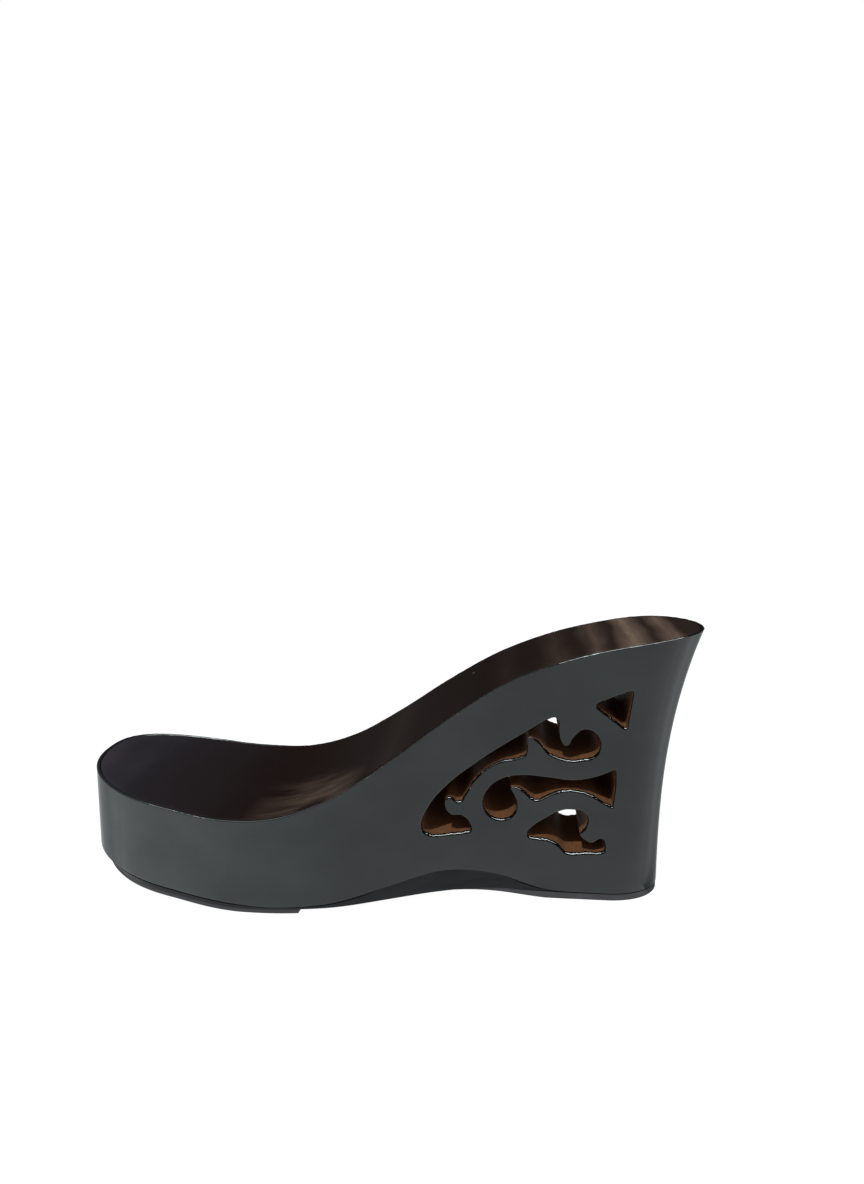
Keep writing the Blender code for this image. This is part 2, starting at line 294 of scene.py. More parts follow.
# Bands of painted sheen across the footbed's heel: place from the foot's middle, half width, strength
HEEL_SHEEN_BANDS = (
    (3.0, 9.0, 0.06),
    (45.0, 7.0, 0.06),
    (63.5, 6.0, 0.14),
    (77.0, 5.5, 0.4),
    (90.5, 7.0, 1.0),
    (102.5, 4.5, 0.75),
)
# Streaks of painted sheen at the arch: fade in at the front, fade out at the rear and away from the outer
# edge
ARCH_FRONT = (-48.0, -30.0)
ARCH_REAR = (-5.0, -16.0)
ARCH_EDGE = (-4.0, -22.0)
ARCH_STREAK_TURN = math.radians(-14.0)
# How much lighter than its own colour the footbed's tip is, a painted sheen, and the sole band's lighter,
# worn patches are
TIP_SHEEN = 2.1
BAND_LIGHTER = 1.6

# Dimmer fans of the floor that the wall's round ends mirror: centre, and brightness by direction in degrees
FloorFan = namedtuple("FloorFan", "centre glows")
FLOOR_FANS = {
    "toe_fan": FloorFan(
        (-100.0, -30.0),
        (
            (112.0, 0.75), (123.0, 0.65), (137.0, 0.48), (146.0, 0.44), (164.0, 0.5), (177.5, 0.82),
            (191.0, 0.97),
        ),
    ),
    "heel_fan": FloorFan(
        (100.0, -20.0),
        (
            (0.0, 1.0), (10.0, 0.98), (24.0, 0.92), (31.0, 0.69), (40.0, 0.51), (48.0, 0.38), (58.0, 0.34),
            (71.0, 0.36), (78.0, 0.42), (90.0, 0.5),
        ),
    ),
}
# Inner and outer radius of the fans, their steps and their height over the floor
FAN_RADII = (6.0, 900.0)
FAN_STEPS = 60
FAN_HEIGHT = 0.1
# Stretches of the rim that mirror a light strip: their ends, and the strip's steady light and sparkles
RimStretch = namedtuple("RimStretch", "start end steady sparkle")
RIM_STRETCHES = (
    RimStretch(40.0, 100.0, 0.3, 2.6),
    RimStretch(94.0, 182.0, 0.12, 0.0),
    RimStretch(178.0, 226.0, 0.7, 1.4),
)
# Span of the rim's slope that mirrors a strip, length over which its ends fade, and pitch of its sparkles,
# with the pitch and the share of the finer ones
RIM_SLOPES = (math.radians(34.0), math.radians(50.0))
RIM_FADE = 6.0
RIM_SPARKLE_PITCH = 5.0
RIM_FINE_PITCH = 1.5
RIM_FINE_SHARE = 0.5
# Distance of the strips from the rim, and the rows and spacing of their points
STRIP_DISTANCE = 600.0
STRIP_ROWS = 8
STRIP_SPACING = 0.3
# Radius of the dome and half width of the floor in metres, their steps, and the camera's sensor and near end
DOME_RADIUS = 3.5
DOME_SEGMENTS = (48, 24)
FLOOR_SEGMENTS = 8
SENSOR_WIDTH = 36.0
CLIP_START = 0.01

# Finishes of the block's faces, in the order of its material slots
LACQUER, SCROLL, BAND = range(3)
INWARD = {"outer": 1.0, "inner": -1.0}


class BlockSettings(PropertyGroup):
    """Sizes and colours of the lacquered block."""

    rim_round: FloatProperty(
        name="Rim rounding", description="Radius of the rim's outer edge", default=0.55 * MM, unit="LENGTH"
    )
    rim_ripple: FloatProperty(
        name="Rim ripple", description="Unevenness of the lacquer on the rim",
        default=0.09 * MM, unit="LENGTH",
    )
    lip_radius: FloatProperty(
        name="Lip radius", description="Rounding of each scroll's edge", default=0.95 * MM, unit="LENGTH"
    )
    lip_runs: FloatProperty(
        name="Lip runs", description="Runs of lacquer on each lower edge", default=0.4 * MM, unit="LENGTH"
    )
    lip_edge: FloatProperty(
        name="Lip edge", description="Unevenness of the lacquer's end inside a scroll",
        default=0.7 * MM, unit="LENGTH",
    )
    lacquer: FloatVectorProperty(
        name="Lacquer", description="Colour of the lacquer", default=(0.0012, 0.0014, 0.0018), subtype="COLOR"
    )
    # Colour of the paler, mottled tone towards the toe.
    pallor: FloatVectorProperty(
        name="Pallor", description="Milky film on the toe", default=(0.03, 0.034, 0.0355), subtype="COLOR"
    )
    dust: FloatVectorProperty(
        name="Dust", description="Colour of specks and scratches", default=(0.16, 0.17, 0.17), subtype="COLOR"
    )
    scroll_dark: FloatVectorProperty(
        name="Scroll, dark", description="Dark grain inside a scroll",
        default=(0.1, 0.046, 0.021), subtype="COLOR",
    )
    scroll_light: FloatVectorProperty(
        name="Scroll, light", description="Light grain inside a scroll",
        default=(0.165, 0.077, 0.036), subtype="COLOR",
    )
    band: FloatVectorProperty(
        name="Sole band", description="Colour below the lacquered wall",
        default=(0.011, 0.012, 0.0135), subtype="COLOR",
    )


class FootbedSettings(PropertyGroup):
    """Sizes and colours of the footbed."""

    edge_round: FloatProperty(
        name="Edge rounding", description="Radius of the footbed's top edge", default=0.35 * MM, unit="LENGTH"
    )
    toe: FloatVectorProperty(
        name="Footbed, toe", description="Colour at the toe",
        default=(0.0185, 0.0162, 0.0202), subtype="COLOR",
    )
    dark: FloatVectorProperty(
        name="Footbed", description="Main colour", default=(0.0106, 0.0058, 0.0051), subtype="COLOR"
    )
    brown: FloatVectorProperty(
        name="Footbed, heel", description="Colour at the heel",
        default=(0.021, 0.0125, 0.0095), subtype="COLOR",
    )
    # Colour of the painted sheen in the footbed's pale bands and streaks.
    sheen: FloatVectorProperty(
        name="Footbed, rubbed", description="Sheen streaks", default=(0.17, 0.119, 0.091), subtype="COLOR"
    )
    dust: FloatVectorProperty(
        name="Dust", description="Colour of specks", default=(0.2, 0.19, 0.18), subtype="COLOR"
    )


class RubberSettings(PropertyGroup):
    """Sizes and colours of the tread and the heel lift."""

    edge_round: FloatProperty(
        name="Edge rounding", description="Radius of the bottom edge", default=0.12 * MM, unit="LENGTH"
    )
    rear_slope: FloatProperty(
        name="Rear slope", description="How far the tread's rear edge is pared",
        default=1.0 * MM, unit="LENGTH",
    )
    rib_pitch: FloatProperty(
        name="Rib pitch", description="Distance between the lift's ribs", default=1.1 * MM, unit="LENGTH"
    )
    rib_height: FloatProperty(
        name="Rib height", description="Height of the lift's ribs", default=0.12 * MM, unit="LENGTH"
    )
    colour: FloatVectorProperty(
        name="Rubber", description="Main colour", default=(0.012, 0.013, 0.0155), subtype="COLOR"
    )
    worn: FloatVectorProperty(
        name="Rubber, worn", description="Scuffed colour", default=(0.028, 0.03, 0.034), subtype="COLOR"
    )


class StageSettings(PropertyGroup):
    """Floor, light and camera."""

    floor: FloatVectorProperty(
        name="Floor", description="Colour of the floor", default=(0.08, 0.08, 0.08), subtype="COLOR"
    )
    floor_glow: FloatProperty(name="Floor glow", description="Light that the floor gives off", default=0.985)
    dome_glow: FloatProperty(name="Background", description="Brightness of the background", default=1.0)
    room_light: FloatProperty(name="Room light", description="Strength of the light all round", default=0.04)
    key_light: FloatProperty(name="Key light", description="Strength of the key light", default=2.6)
    key_from: FloatVectorProperty(
        name="Key from", description="Direction that the key light comes from", default=(-0.16, -0.5, 0.8),
        subtype="DIRECTION",
    )
    key_angle: FloatProperty(
        name="Key size", description="Angle that the key light fills",
        default=math.radians(1.2), subtype="ANGLE",
    )
    fill_light: FloatProperty(name="Fill light", description="Strength of the soft fill light", default=1.0)
    fill_from: FloatVectorProperty(
        name="Fill from", description="Direction that the fill light comes from", default=(0.05, -0.9, 0.35),
        subtype="DIRECTION",
    )
    fill_angle: FloatProperty(
        name="Fill size", description="Angle that the fill light fills",
        default=math.radians(80.0), subtype="ANGLE",
    )
    fan_glow: FloatVectorProperty(
        name="Floor fans", description="Colour of the dimmer fans of the floor",
        default=(0.95, 1.0, 1.0), subtype="COLOR",
    )
    rim_glow: FloatVectorProperty(
        name="Rim strips", description="Light of the strips that the rim mirrors",
        default=(24.0, 24.0, 24.0), subtype="XYZ",
    )
    camera_at: FloatVectorProperty(
        name="Camera", description="Place of the camera",
        default=(0.04728, -0.32372, 0.16276), subtype="TRANSLATION",
    )
    camera_turn: FloatVectorProperty(
        name="Camera turn", description="Turn of the camera", subtype="EULER",
        default=(math.radians(81.032), 0.0, math.radians(5.379)),
    )
    lens: FloatProperty(name="Lens", description="Focal length, in millimetres", default=26.45)


def ease(value, start, end):
    """Rise smoothly from 0 at start to 1 at end."""
    part = np.clip((value - start) / (end - start), 0.0, 1.0)
    return part * part * (3.0 - 2.0 * part)


def section_value(column, station):
    """Read a column of the section table at any distance from the toe, on a smooth curve."""
    values = [getattr(section, column) for section in SECTIONS]
    first = 2.0 * values[0] - values[1]
    last = 2.0 * values[-1] - values[-2]
    padded = np.array([first, *values, last])
    place = np.clip(station / STATION_STEP, 0.0, len(values) - 1.000001)
    index = np.floor(place).astype(int)
    part = place - index
    before, here, after, beyond = (padded[index + shift] for shift in range(4))
    slope_here = 0.5 * (after - before)
    slope_after = 0.5 * (beyond - here)
    rise = after - here
    curve = slope_here + part * (3.0 * rise - 2.0 * slope_here - slope_after)
    curve += part * part * (slope_here + slope_after - 2.0 * rise)
    return here + part * curve


def end_fullness(station):
    """Fraction of the full width at a station: rounded off at toe and heel, 1 between them."""
    toe = np.clip(station / TOE_ROUND, 0.0, 1.0)
    heel = np.clip((LENGTH - station) / HEEL_ROUND, 0.0, 1.0)
    toe_part = (1.0 - (1.0 - toe) ** TOE_POWER) ** (1.0 / TOE_POWER)
    return toe_part * np.sqrt(1.0 - (1.0 - heel) ** 2)


def centre_offset(station):
    """Distance of the outline's tip line from the centre line, near each end."""
    toe = np.where(station < TOE_ROUND, TOE_TIP_OFFSET, 0.0)
    heel = np.where(station > LENGTH - HEEL_ROUND, HEEL_TIP_OFFSET, 0.0)
    return toe + heel


def inset_stations(station, toe_inset, heel_inset):
    """Move stations in from both tips, so that the round ends keep an even inset."""
    toe = np.clip(1.0 - station / TOE_ROUND, 0.0, 1.0)
    heel = np.clip(1.0 - (LENGTH - station) / HEEL_ROUND, 0.0, 1.0)
    return station + toe_inset * toe - heel_inset * heel


def edge_distance(column, station, level, inset=0.0):
    """Distance from the centre line to one side of the outline, at a level from 0 (foot) to 1 (top)."""
    sign = 1.0 if column == "inner" else -1.0
    flare = SIDE_FLARE * ease(station, SIDE_FLARE_START, SIDE_FLARE_FULL) * (1.0 - level**2)
    full = section_value(column, station) - flare - inset
    tip = sign * centre_offset(station)
    return tip + (full - tip) * end_fullness(station)


def length_shift(station, level):
    """Movement along X of a wall point below the top edge, by the heel's flare."""
    heel = np.clip((station - BACK_FLARE_START) / (LENGTH - BACK_FLARE_START), 0.0, 1.0)
    return -BACK_FLARE * heel**2 * (1.0 - level**BACK_FLARE_POWER)


def underside_height(station):
    """Height of the block's underside: toe spring, flat forefoot, low arch, flat heel."""
    ahead = np.clip((FLAT_START - station) / FLAT_START, 0.0, 1.0)
    arch_place = np.clip((station - TREAD_REAR) / (LIFT_FLAT - TREAD_REAR), 0.0, 1.0)
    forefoot = TREAD_THICKNESS + SEAT_GAP
    heel = LIFT_THICKNESS + SEAT_GAP
    rest = forefoot + (heel - forefoot) * ease(station, TREAD_REAR, LIFT_FLAT)
    return rest + TOE_SPRING * ahead**TOE_SPRING_POWER + ARCH_RISE * np.sin(math.pi * arch_place) ** 2


def top_height(station, side):
    """Height of the block's top edge. Lines of equal height cross the foot at the skew of the ball line."""
    return section_value("top", station + side * math.tan(CROSS_LINE_SKEW))


def stations_between(start, end, toe_steps=TOE_STEPS, heel_steps=HEEL_STEPS):
    """Distances from the toe at which sections are set: close together on the round ends."""
    toe_angles = np.linspace(0.0, 0.5 * math.pi, toe_steps + 1)
    heel_angles = np.linspace(0.5 * math.pi, 0.0, heel_steps + 1)
    toe = TOE_ROUND * (1.0 - np.cos(toe_angles))
    heel = LENGTH - HEEL_ROUND * (1.0 - np.cos(heel_angles))
    middle_steps = round((heel[0] - toe[-1]) / STATION_SPACING)
    middle = np.linspace(toe[-1], heel[0], middle_steps + 1)
    every = np.concatenate([toe[:-1], middle, heel[1:]])
    first = [] if start <= 0.0 else [start]
    last = [] if end >= LENGTH else [end]
    low = start + STATION_MARGIN if first else -1.0
    high = end - STATION_MARGIN if last else LENGTH + 1.0
    return np.concatenate([first, every[(every > low) & (every < high)], last])


def middle_line():
    """Distance of the box's middle from the centre line."""
    stations = np.linspace(0.0, LENGTH, 2 * round(LENGTH) + 1)
    outer = edge_distance("outer", stations, 1.0)
    inner = edge_distance("inner", stations, 1.0)
    return 0.5 * (inner.max() - outer.max())


CENTRE_Y = middle_line()


def edge_ring(stations, level, inset, height):
    """Outer and inner edge points of one level, from toe to heel, with a function for their height."""
    inset = np.broadcast_to(inset, stations.shape)
    along = inset_stations(stations, inset[0], inset[-1])
    x = along - 0.5 * LENGTH + length_shift(along, level)
    sides = []
    for column, sign in (("outer", -1.0), ("inner", 1.0)):
        y = sign * edge_distance(column, stations, level, inset)
        sides.append(np.stack([x, y - CENTRE_Y, height(along, y)], axis=1))
    return sides


def wall_points(side, station, rise, rim_round):
    """Points of the lacquered wall on one side: rise is 0 at its foot and 1 below the rim's rounding."""
    sign = 1.0 if side == "inner" else -1.0
    foot = section_value("wall_foot", station)
    level = rise * (1.0 - rim_round / (section_value("top", station) - foot))
    y = sign * edge_distance(side, station, level)
    x = station - 0.5 * LENGTH + length_shift(station, level)
    z = foot + rise * (top_height(station, y) - rim_round - foot)
    return np.stack([x, y - CENTRE_Y, z], axis=1)


def wall_place(side, x, z, rim_round):
    """Station and rise of the wall point that has this x and z."""
    station = x + 0.5 * LENGTH
    rise = np.full(x.shape, 0.5)
    for _ in range(INVERSE_STEPS):
        point = wall_points(side, station, rise, rim_round)
        span = section_value("top", station) - section_value("wall_foot", station)
        station = station + x - point[:, 0]
        rise = rise + (z - point[:, 2]) / span
    return station, rise


def outline_place(side, outline, top, narrowing, rim_round):
    """Station and rise of a scroll's outline where its walls, dropping and narrowing, meet one side."""
    y = np.full(len(outline), -INWARD[side] * CUT_FACE)
    for _ in range(MEETING_STEPS):
        inward = y + CUT_FACE
        z = top + (outline[:, 1] - top) * (1.0 - narrowing * inward) - inward * math.tan(CUT_DROP)
        station, rise = wall_place(side, outline[:, 0], z, rim_round)
        y = wall_points(side, station, rise, rim_round)[:, 1]
    return station, rise


def wobble(places, seed):
    """Smooth random values between about -1 and 1 along a line."""
    return np.array([noise.noise(Vector((place, seed, 0.5 * seed))) for place in places])


def quarter_round(steps=ROUND_STEPS):
    """Distance in and distance down of points on a quarter round of radius 1, after its first point."""
    angles = np.linspace(0.0, 0.5 * math.pi, steps + 1)[1:]
    return [(1.0 - math.cos(angle), 1.0 - math.sin(angle)) for angle in angles]


def even_points(points, spacing):
    """Points at an even spacing along a closed line."""
    closed = np.vstack([points, points[:1]])
    run = np.concatenate([[0.0], np.cumsum(np.linalg.norm(np.diff(closed, axis=0), axis=1))])
    marks = np.linspace(0.0, run[-1], round(run[-1] / spacing), endpoint=False)
    return np.stack([np.interp(marks, run, closed[:, axis]) for axis in range(2)], axis=1)


def soften(values, passes):
    """Even out values along a closed line."""
    for _ in range(passes):
        values = 0.5 * values + 0.25 * (np.roll(values, 1, axis=0) + np.roll(values, -1, axis=0))
    return values


def scroll_outline(name, knots):
    """Evenly spaced points of a scroll's outline, with its corners a little rounded."""
    curve = bpy.data.curves.new(name, "CURVE")
    curve.dimensions = "2D"
    curve.fill_mode = "NONE"
    curve.resolution_u = OUTLINE_STEPS
    spline = curve.splines.new("BEZIER")
    spline.bezier_points.add(len(knots) - 1)
    spline.use_cyclic_u = True
    for point, knot in zip(spline.bezier_points, knots):
        point.co = (knot.x + 0.5 * LENGTH - CUT_MARK, knot.z, 0.0)
        kind = "VECTOR" if knot.sharp else "AUTO"
        point.handle_left_type = kind
        point.handle_right_type = kind
    holder = bpy.data.objects.new(name, curve)
    bpy.context.scene.collection.objects.link(holder)
    evaluated = holder.evaluated_get(bpy.context.evaluated_depsgraph_get())
    line = bpy.data.meshes.new_from_object(evaluated)
    points = np.array([vert.co[:2] for vert in line.vertices])
    bpy.data.objects.remove(holder, do_unlink=True)
    bpy.data.curves.remove(curve)
    bpy.data.meshes.remove(line)
    return soften(even_points(points, OUTLINE_SPACING), OUTLINE_SOFTENING)


def outward_normals(outline):
    """Unit directions from a scroll's outline into the block."""
    ahead = np.roll(outline, -1, axis=0) - np.roll(outline, 1, axis=0)
    ahead /= np.linalg.norm(ahead, axis=1)[:, None]
    following = np.roll(outline, -1, axis=0)
    area = np.sum(outline[:, 0] * following[:, 1] - outline[:, 1] * following[:, 0])
    return math.copysign(1.0, area) * np.stack([ahead[:, 1], -ahead[:, 0]], axis=1)


def lip_radii(outline, normals, every_outline, radius):
    """Lip radius along an outline: smaller where the block is thin beside it, as on a pointed tongue."""
    reach = every_outline[None, :, :] - outline[:, None, :]
    ahead = np.sum(reach * normals[:, None, :], axis=2)
    balls = np.sum(reach * reach, axis=2) / (2.0 * np.maximum(ahead, TIP_MEETS))
    allowed = np.minimum(radius, LIP_SHARE * np.where(ahead > TIP_MEETS, balls, np.inf).min(axis=1))
    shifts = range(-LIP_WINDOW, LIP_WINDOW + 1)
    narrow = np.min([np.roll(allowed, shift) for shift in shifts], axis=0)
    return soften(narrow, LIP_SOFTENING)


def inside(points, ring):
    """Tell which points lie inside a closed ring in the plane."""
    x, y = points[:, :1], points[:, 1:]
    start, end = ring, np.roll(ring, -1, axis=0)
    spans = (start[:, 1] > y) != (end[:, 1] > y)
    rise = np.where(start[:, 1] == end[:, 1], 1.0, end[:, 1] - start[:, 1])
    crossing = start[:, 0] + (y - start[:, 1]) * (end[:, 0] - start[:, 0]) / rise
    return np.sum(spans & (x < crossing), axis=1) % 2 == 1


class Shell:
    """A closed piece, gathered ring by ring from points in millimetres."""

    def __init__(self):
        self.points = []
        self.count = 0
        self.faces = []
        self.finishes = []
        self.creases = []

    def add(self, points):
        """Add points and return their numbers."""
        self.points.append(points)
        self.count += len(points)
        return np.arange(self.count - len(points), self.count)

    def ring(self, sides):
        """Add a ring of an outer and an inner side, which share a point where they meet."""
        outer = self.add(sides[0])
        inner = self.add(sides[1])
        meet = np.linalg.norm(sides[0] - sides[1], axis=1) < TIP_MEETS
        return outer, np.where(meet, outer, inner)

    def face(self, corners, finish=0):
        """Add a face, leaving out corners that are the same."""
        self.faces.append(list(dict.fromkeys(int(corner) for corner in corners)))
        self.finishes.append(finish)

    def wrap(self, lower, upper, finish=0):
        """Join two closed loops of as many points."""
        for here in range(len(lower)):
            after = (here + 1) % len(lower)
            self.face((lower[here], lower[after], upper[after], upper[here]), finish)

    def cross(self, first, second, finish=0):
        """Join two lines that run from toe to heel."""
        for here in range(len(first) - 1):
            self.face((first[here], first[here + 1], second[here + 1], second[here]), finish)

    def crease(self, loop):
        """Keep the edges of a closed loop sharp."""
        pairs = zip(loop, [*loop[1:], loop[0]])
        self.creases.extend(frozenset((int(first), int(second))) for first, second in pairs)

    def build(self, name, materials, sharp_angle=None):
        """Make the piece as an object, in metres."""
        used = np.unique(np.concatenate([np.array(face) for face in self.faces]))
        number = np.full(self.count, -1)
        number[used] = np.arange(len(used))
        points = np.concatenate(self.points)[used] * MM
        mesh = bpy.data.meshes.new(name)
        mesh.from_pydata(points.tolist(), [], [number[face].tolist() for face in self.faces])
        mesh.polygons.foreach_set("material_index", self.finishes)
        for material in materials:
            mesh.materials.append(material)
        mesh.shade_smooth()
        work = bmesh.new()
        work.from_mesh(mesh)
        bmesh.ops.recalc_face_normals(work, faces=work.faces)
        sharp = {frozenset(int(number[end]) for end in pair) for pair in self.creases}
        for edge in work.edges:
            if frozenset(vert.index for vert in edge.verts) in sharp:
                edge.smooth = False
        work.to_mesh(mesh)
        work.free()
        if sharp_angle is not None:
            mesh.set_sharp_from_angle(angle=sharp_angle)
        piece = bpy.data.objects.new(name, mesh)
        bpy.context.scene.collection.objects.link(piece)
        return piece


def loop_of(sides):
    """One closed loop of point numbers from a ring's two sides."""
    outer, inner = sides
    return list(dict.fromkeys([*outer.tolist(), *inner[::-1].tolist()]))


def cut_scroll(shell, outline, cut_out, every_outline, settings, seed):
    """Add one scroll's lips and tunnel. Return the ring of wall points round it, for each side."""
    rim_round = settings.rim_round / MM
    normals = outward_normals(outline)
    allowed = lip_radii(outline, normals, every_outline, settings.lip_radius / MM)
    run = np.arange(len(outline)) * OUTLINE_SPACING
    low = np.clip(-normals[:, 1], 0.0, 1.0)
    top = outline[:, 1].max()
    aprons, mouths = {}, {}
    for side, inward in INWARD.items():
        radii = allowed if side == "outer" else cut_out.far_lip * allowed
        runs = settings.lip_runs / MM * low * wobble(run / RUN_PITCH, seed + inward)
        end = settings.lip_edge / MM * (0.5 + 0.5 * wobble(run / LIP_EDGE_PITCH, seed + 3.0 + inward))
        profile = [(LIP_APRON, 0.0, 0.0), (1.0, 0.0, 0.0)]
        profile += [(down, across, 0.0) for across, down in quarter_round()]
        profile.append((0.0, 1.0, 1.0))
        rings = []
        for offset, depth, ending in profile:
            drawn = outline + normals * (radii * offset - runs * depth)[:, None]
            station, rise = outline_place(side, drawn, top, cut_out.narrowing, rim_round)
            points = wall_points(side, station, rise, rim_round)
            points[:, 1] += inward * (radii * depth + end * ending)
            rings.append((shell.add(points), points))
            if len(rings) == 1:
                aprons[side] = (rings[0][0], station, rise)
        for (lower, _), (upper, _) in zip(rings, rings[1:]):
            shell.wrap(lower, upper, LACQUER)
        station, rise = outline_place(side, outline, top, cut_out.narrowing, rim_round)
        points = wall_points(side, station, rise, rim_round)
        points[:, 1] += inward * (radii + settings.lip_edge / MM + THROAT_DEPTH)
        throat = shell.add(points)
        shell.wrap(rings[-1][0], throat, SCROLL)
        mouths[side] = (throat, points)
    (near, near_points), (far, far_points) = mouths["outer"], mouths["inner"]
    rings = [near]
    for part in np.linspace(0.0, 1.0, TUNNEL_STEPS + 1)[1:-1]:
        rings.append(shell.add(near_points + part * (far_points - near_points)))
    for lower, upper in zip(rings, [*rings[1:], far]):
        shell.wrap(lower, upper, SCROLL)
    return aprons


def fill_patch(shell, numbers, stations, rises, aprons):
    """Fill the wall round the scrolls with triangles that end at the aprons of their lips."""
    across, up = np.meshgrid(stations, rises * PATCH_HEIGHT, indexing="ij")
    places = np.stack([across.ravel(), up.ravel()], axis=1)
    border = np.ones(across.shape, bool)
    border[1:-1, 1:-1] = False
    keep = np.ones(len(places), bool)
    rings = [np.stack([station, rise * PATCH_HEIGHT], axis=1) for _, station, rise in aprons]
    for ring in rings:
        gaps = np.linalg.norm(places[:, None, :] - ring[None, :, :], axis=2).min(axis=1)
        keep &= (gaps > PATCH_CLEARANCE) & ~inside(places, ring)
    keep |= border.ravel()
    coords = [places[keep]]
    owners = [numbers.ravel()[keep]]
    edges = []
    first = int(keep.sum())
    for ring, (ring_numbers, _, _) in zip(rings, aprons):
        coords.append(ring)
        owners.append(ring_numbers)
        edges += [(first + here, first + (here + 1) % len(ring)) for here in range(len(ring))]
        first += len(ring)
    coords = np.concatenate(coords)
    owners = np.concatenate(owners)
    points = [Vector(place) for place in coords]
    verts, _, faces, sources, _, _ = delaunay_2d_cdt(points, edges, [], 0, PATCH_WELD)
    if len(verts) != len(coords):
        raise RuntimeError("the aprons of two scrolls cross on the wall")
    centres = np.array([np.mean([verts[corner] for corner in face], axis=0) for face in faces])
    cut = np.any([inside(centres, ring) for ring in rings], axis=0)
    for face, is_cut in zip(faces, cut):
        if not is_cut:
            shell.face([owners[sources[corner][0]] for corner in face], LACQUER)


def lacquered_wall(shell, stations, rim_round, aprons):
    """Add the wall with its scrolls. Return its lowest and its highest ring."""
    rises = np.insert(np.linspace(0.0, 1.0, WALL_STEPS + 1), WALL_STEPS, 1.0 - RIM_SUPPORT)
    rings = []
    for rise in rises:
        sides = [wall_points(side, stations, np.full(stations.shape, rise), rim_round) for side in INWARD]
        rings.append(shell.ring(sides))
    first, last = np.searchsorted(stations, PATCH_STATIONS)
    low, high = np.searchsorted(rises, PATCH_RISES)
    for which, side in enumerate(INWARD):
        numbers = np.stack([ring[which] for ring in rings], axis=1)
        for here in range(len(stations) - 1):
            for step in range(len(rises) - 1):
                if first <= here < last and low <= step < high:
                    continue
                corners = (
                    numbers[here, step],
                    numbers[here + 1, step],
                    numbers[here + 1, step + 1],
                    numbers[here, step + 1],
                )
                shell.face(corners, LACQUER)
        patch = numbers[first : last + 1, low : high + 1]
        fill_patch(shell, patch, stations[first : last + 1], rises[low : high + 1], aprons[side])
    return rings[0], rings[-1]


def rim_profile(rim_round):
    """Inset and drop of the rim's rings, from the wall over the rounded edge to the footbed's recess."""
    inner = RIM_WIDTH - rim_round
    profile = [(rim_round * across, rim_round * down) for across, down in quarter_round()]
    profile += [(rim_round + inner * (1.0 - down), inner * (1.0 - math.sqrt(1.0 - (1.0 - down) ** 2)))
                for _, down in quarter_round()]
    return [*profile, (RIM_WIDTH, FOOTBED_THICKNESS + SEAT_GAP)]


def rippled_top(drop, ripple):
    """A function for the height of a ring of the rim: drop below the top edge, and uneven by the ripple."""

    def height(along, side):
        places = [Vector((x, y, 0.0)) for x, y in zip(along, side)]
        uneven = [sum(size * noise.noise(fine * place) for fine, size in RIPPLE_WAVES) for place in places]
        return top_height(along, side) - drop + ripple * np.array(uneven)

    return height


def band_inset(stations):
    """How far the underside's edge lies in from the wall's foot: more for a high band and at the toe."""
    band = section_value("wall_foot", stations) - underside_height(stations)
    toe = np.clip(1.0 - stations / TOE_ROUND, 0.0, 1.0)
    return BEVEL_INSET + BEVEL_SLOPE * band + BEVEL_TOE * toe**2


def sole_band(shell, stations, foot):
    """Add the wall's rounded foot, the joint and the band below it, and the underside."""
    band = section_value("wall_foot", stations) - underside_height(stations)
    share = np.minimum(1.0, JOINT_SHARE * band / (FOOT_ROUND + JOINT_HEIGHT))
    share = share * (1.0 - JOINT_FADED * ease(band, *JOINT_FADE))
    rounding = share * FOOT_ROUND
    depth = share * (FOOT_ROUND + JOINT_HEIGHT)
    inset = band_inset(stations)
    profile = [(rounding * across, rounding * (1.0 - down), LACQUER) for across, down in quarter_round()]
    profile.append((share * JOINT_DEPTH, rounding, BAND))
    profile.append((share * JOINT_DEPTH, depth, BAND))
    profile.append((inset * depth / band, depth, BAND))
    last = foot
    for ring_inset, drop, finish in profile:
        sides = edge_ring(
            stations, 0.0, ring_inset, lambda along, side: section_value("wall_foot", along) - drop
        )
        ring = shell.ring(sides)
        shell.wrap(loop_of(last), loop_of(ring), finish)
        if finish == BAND:
            shell.crease(loop_of(ring))
        last = ring
    base = shell.ring(edge_ring(stations, 0.0, inset, lambda along, side: underside_height(along)))
    shell.wrap(loop_of(last), loop_of(base), BAND)
    shell.crease(loop_of(base))
    shell.cross(*base, BAND)


def tree_of(name):
    """Return a new material with its node tree and its shader."""
    material = bpy.data.materials.new(name)
    material.use_nodes = True
    return material, material.node_tree, material.node_tree.nodes["Principled BSDF"]


def add_node(tree, kind, inputs=None, **options):
    """Add a node, with options and with values or links for its inputs."""
    node = tree.nodes.new(kind)
    for name, value in options.items():
        setattr(node, name, value)
    for name, value in (inputs or {}).items():
        socket = node.inputs[name]
        if isinstance(value, bpy.types.NodeSocket):
            tree.links.new(value, socket)
        else:
            socket.default_value = value
    return node


def placed(tree, scale=(1.0, 1.0, 1.0), turn=(0.0, 0.0, 0.0)):
    """Coordinates in metres on the piece, stretched and turned."""
    coordinates = add_node(tree, "ShaderNodeTexCoord")
    inputs = {"Vector": coordinates.outputs["Object"], "Scale": scale, "Rotation": turn}
    return add_node(tree, "ShaderNodeMapping", inputs).outputs["Vector"]


def along_foot(tree):
    """Distance along the foot from its middle, in metres, positive towards the heel."""
    return add_node(tree, "ShaderNodeSeparateXYZ", {"Vector": placed(tree)}).outputs["X"]


def noise_field(tree, vector, scale, detail=2.0, roughness=0.5):
    """A noise value between 0 and 1."""
    inputs = {"Vector": vector, "Scale": scale, "Detail": detail, "Roughness": roughness}
    return add_node(tree, "ShaderNodeTexNoise", inputs).outputs[0]


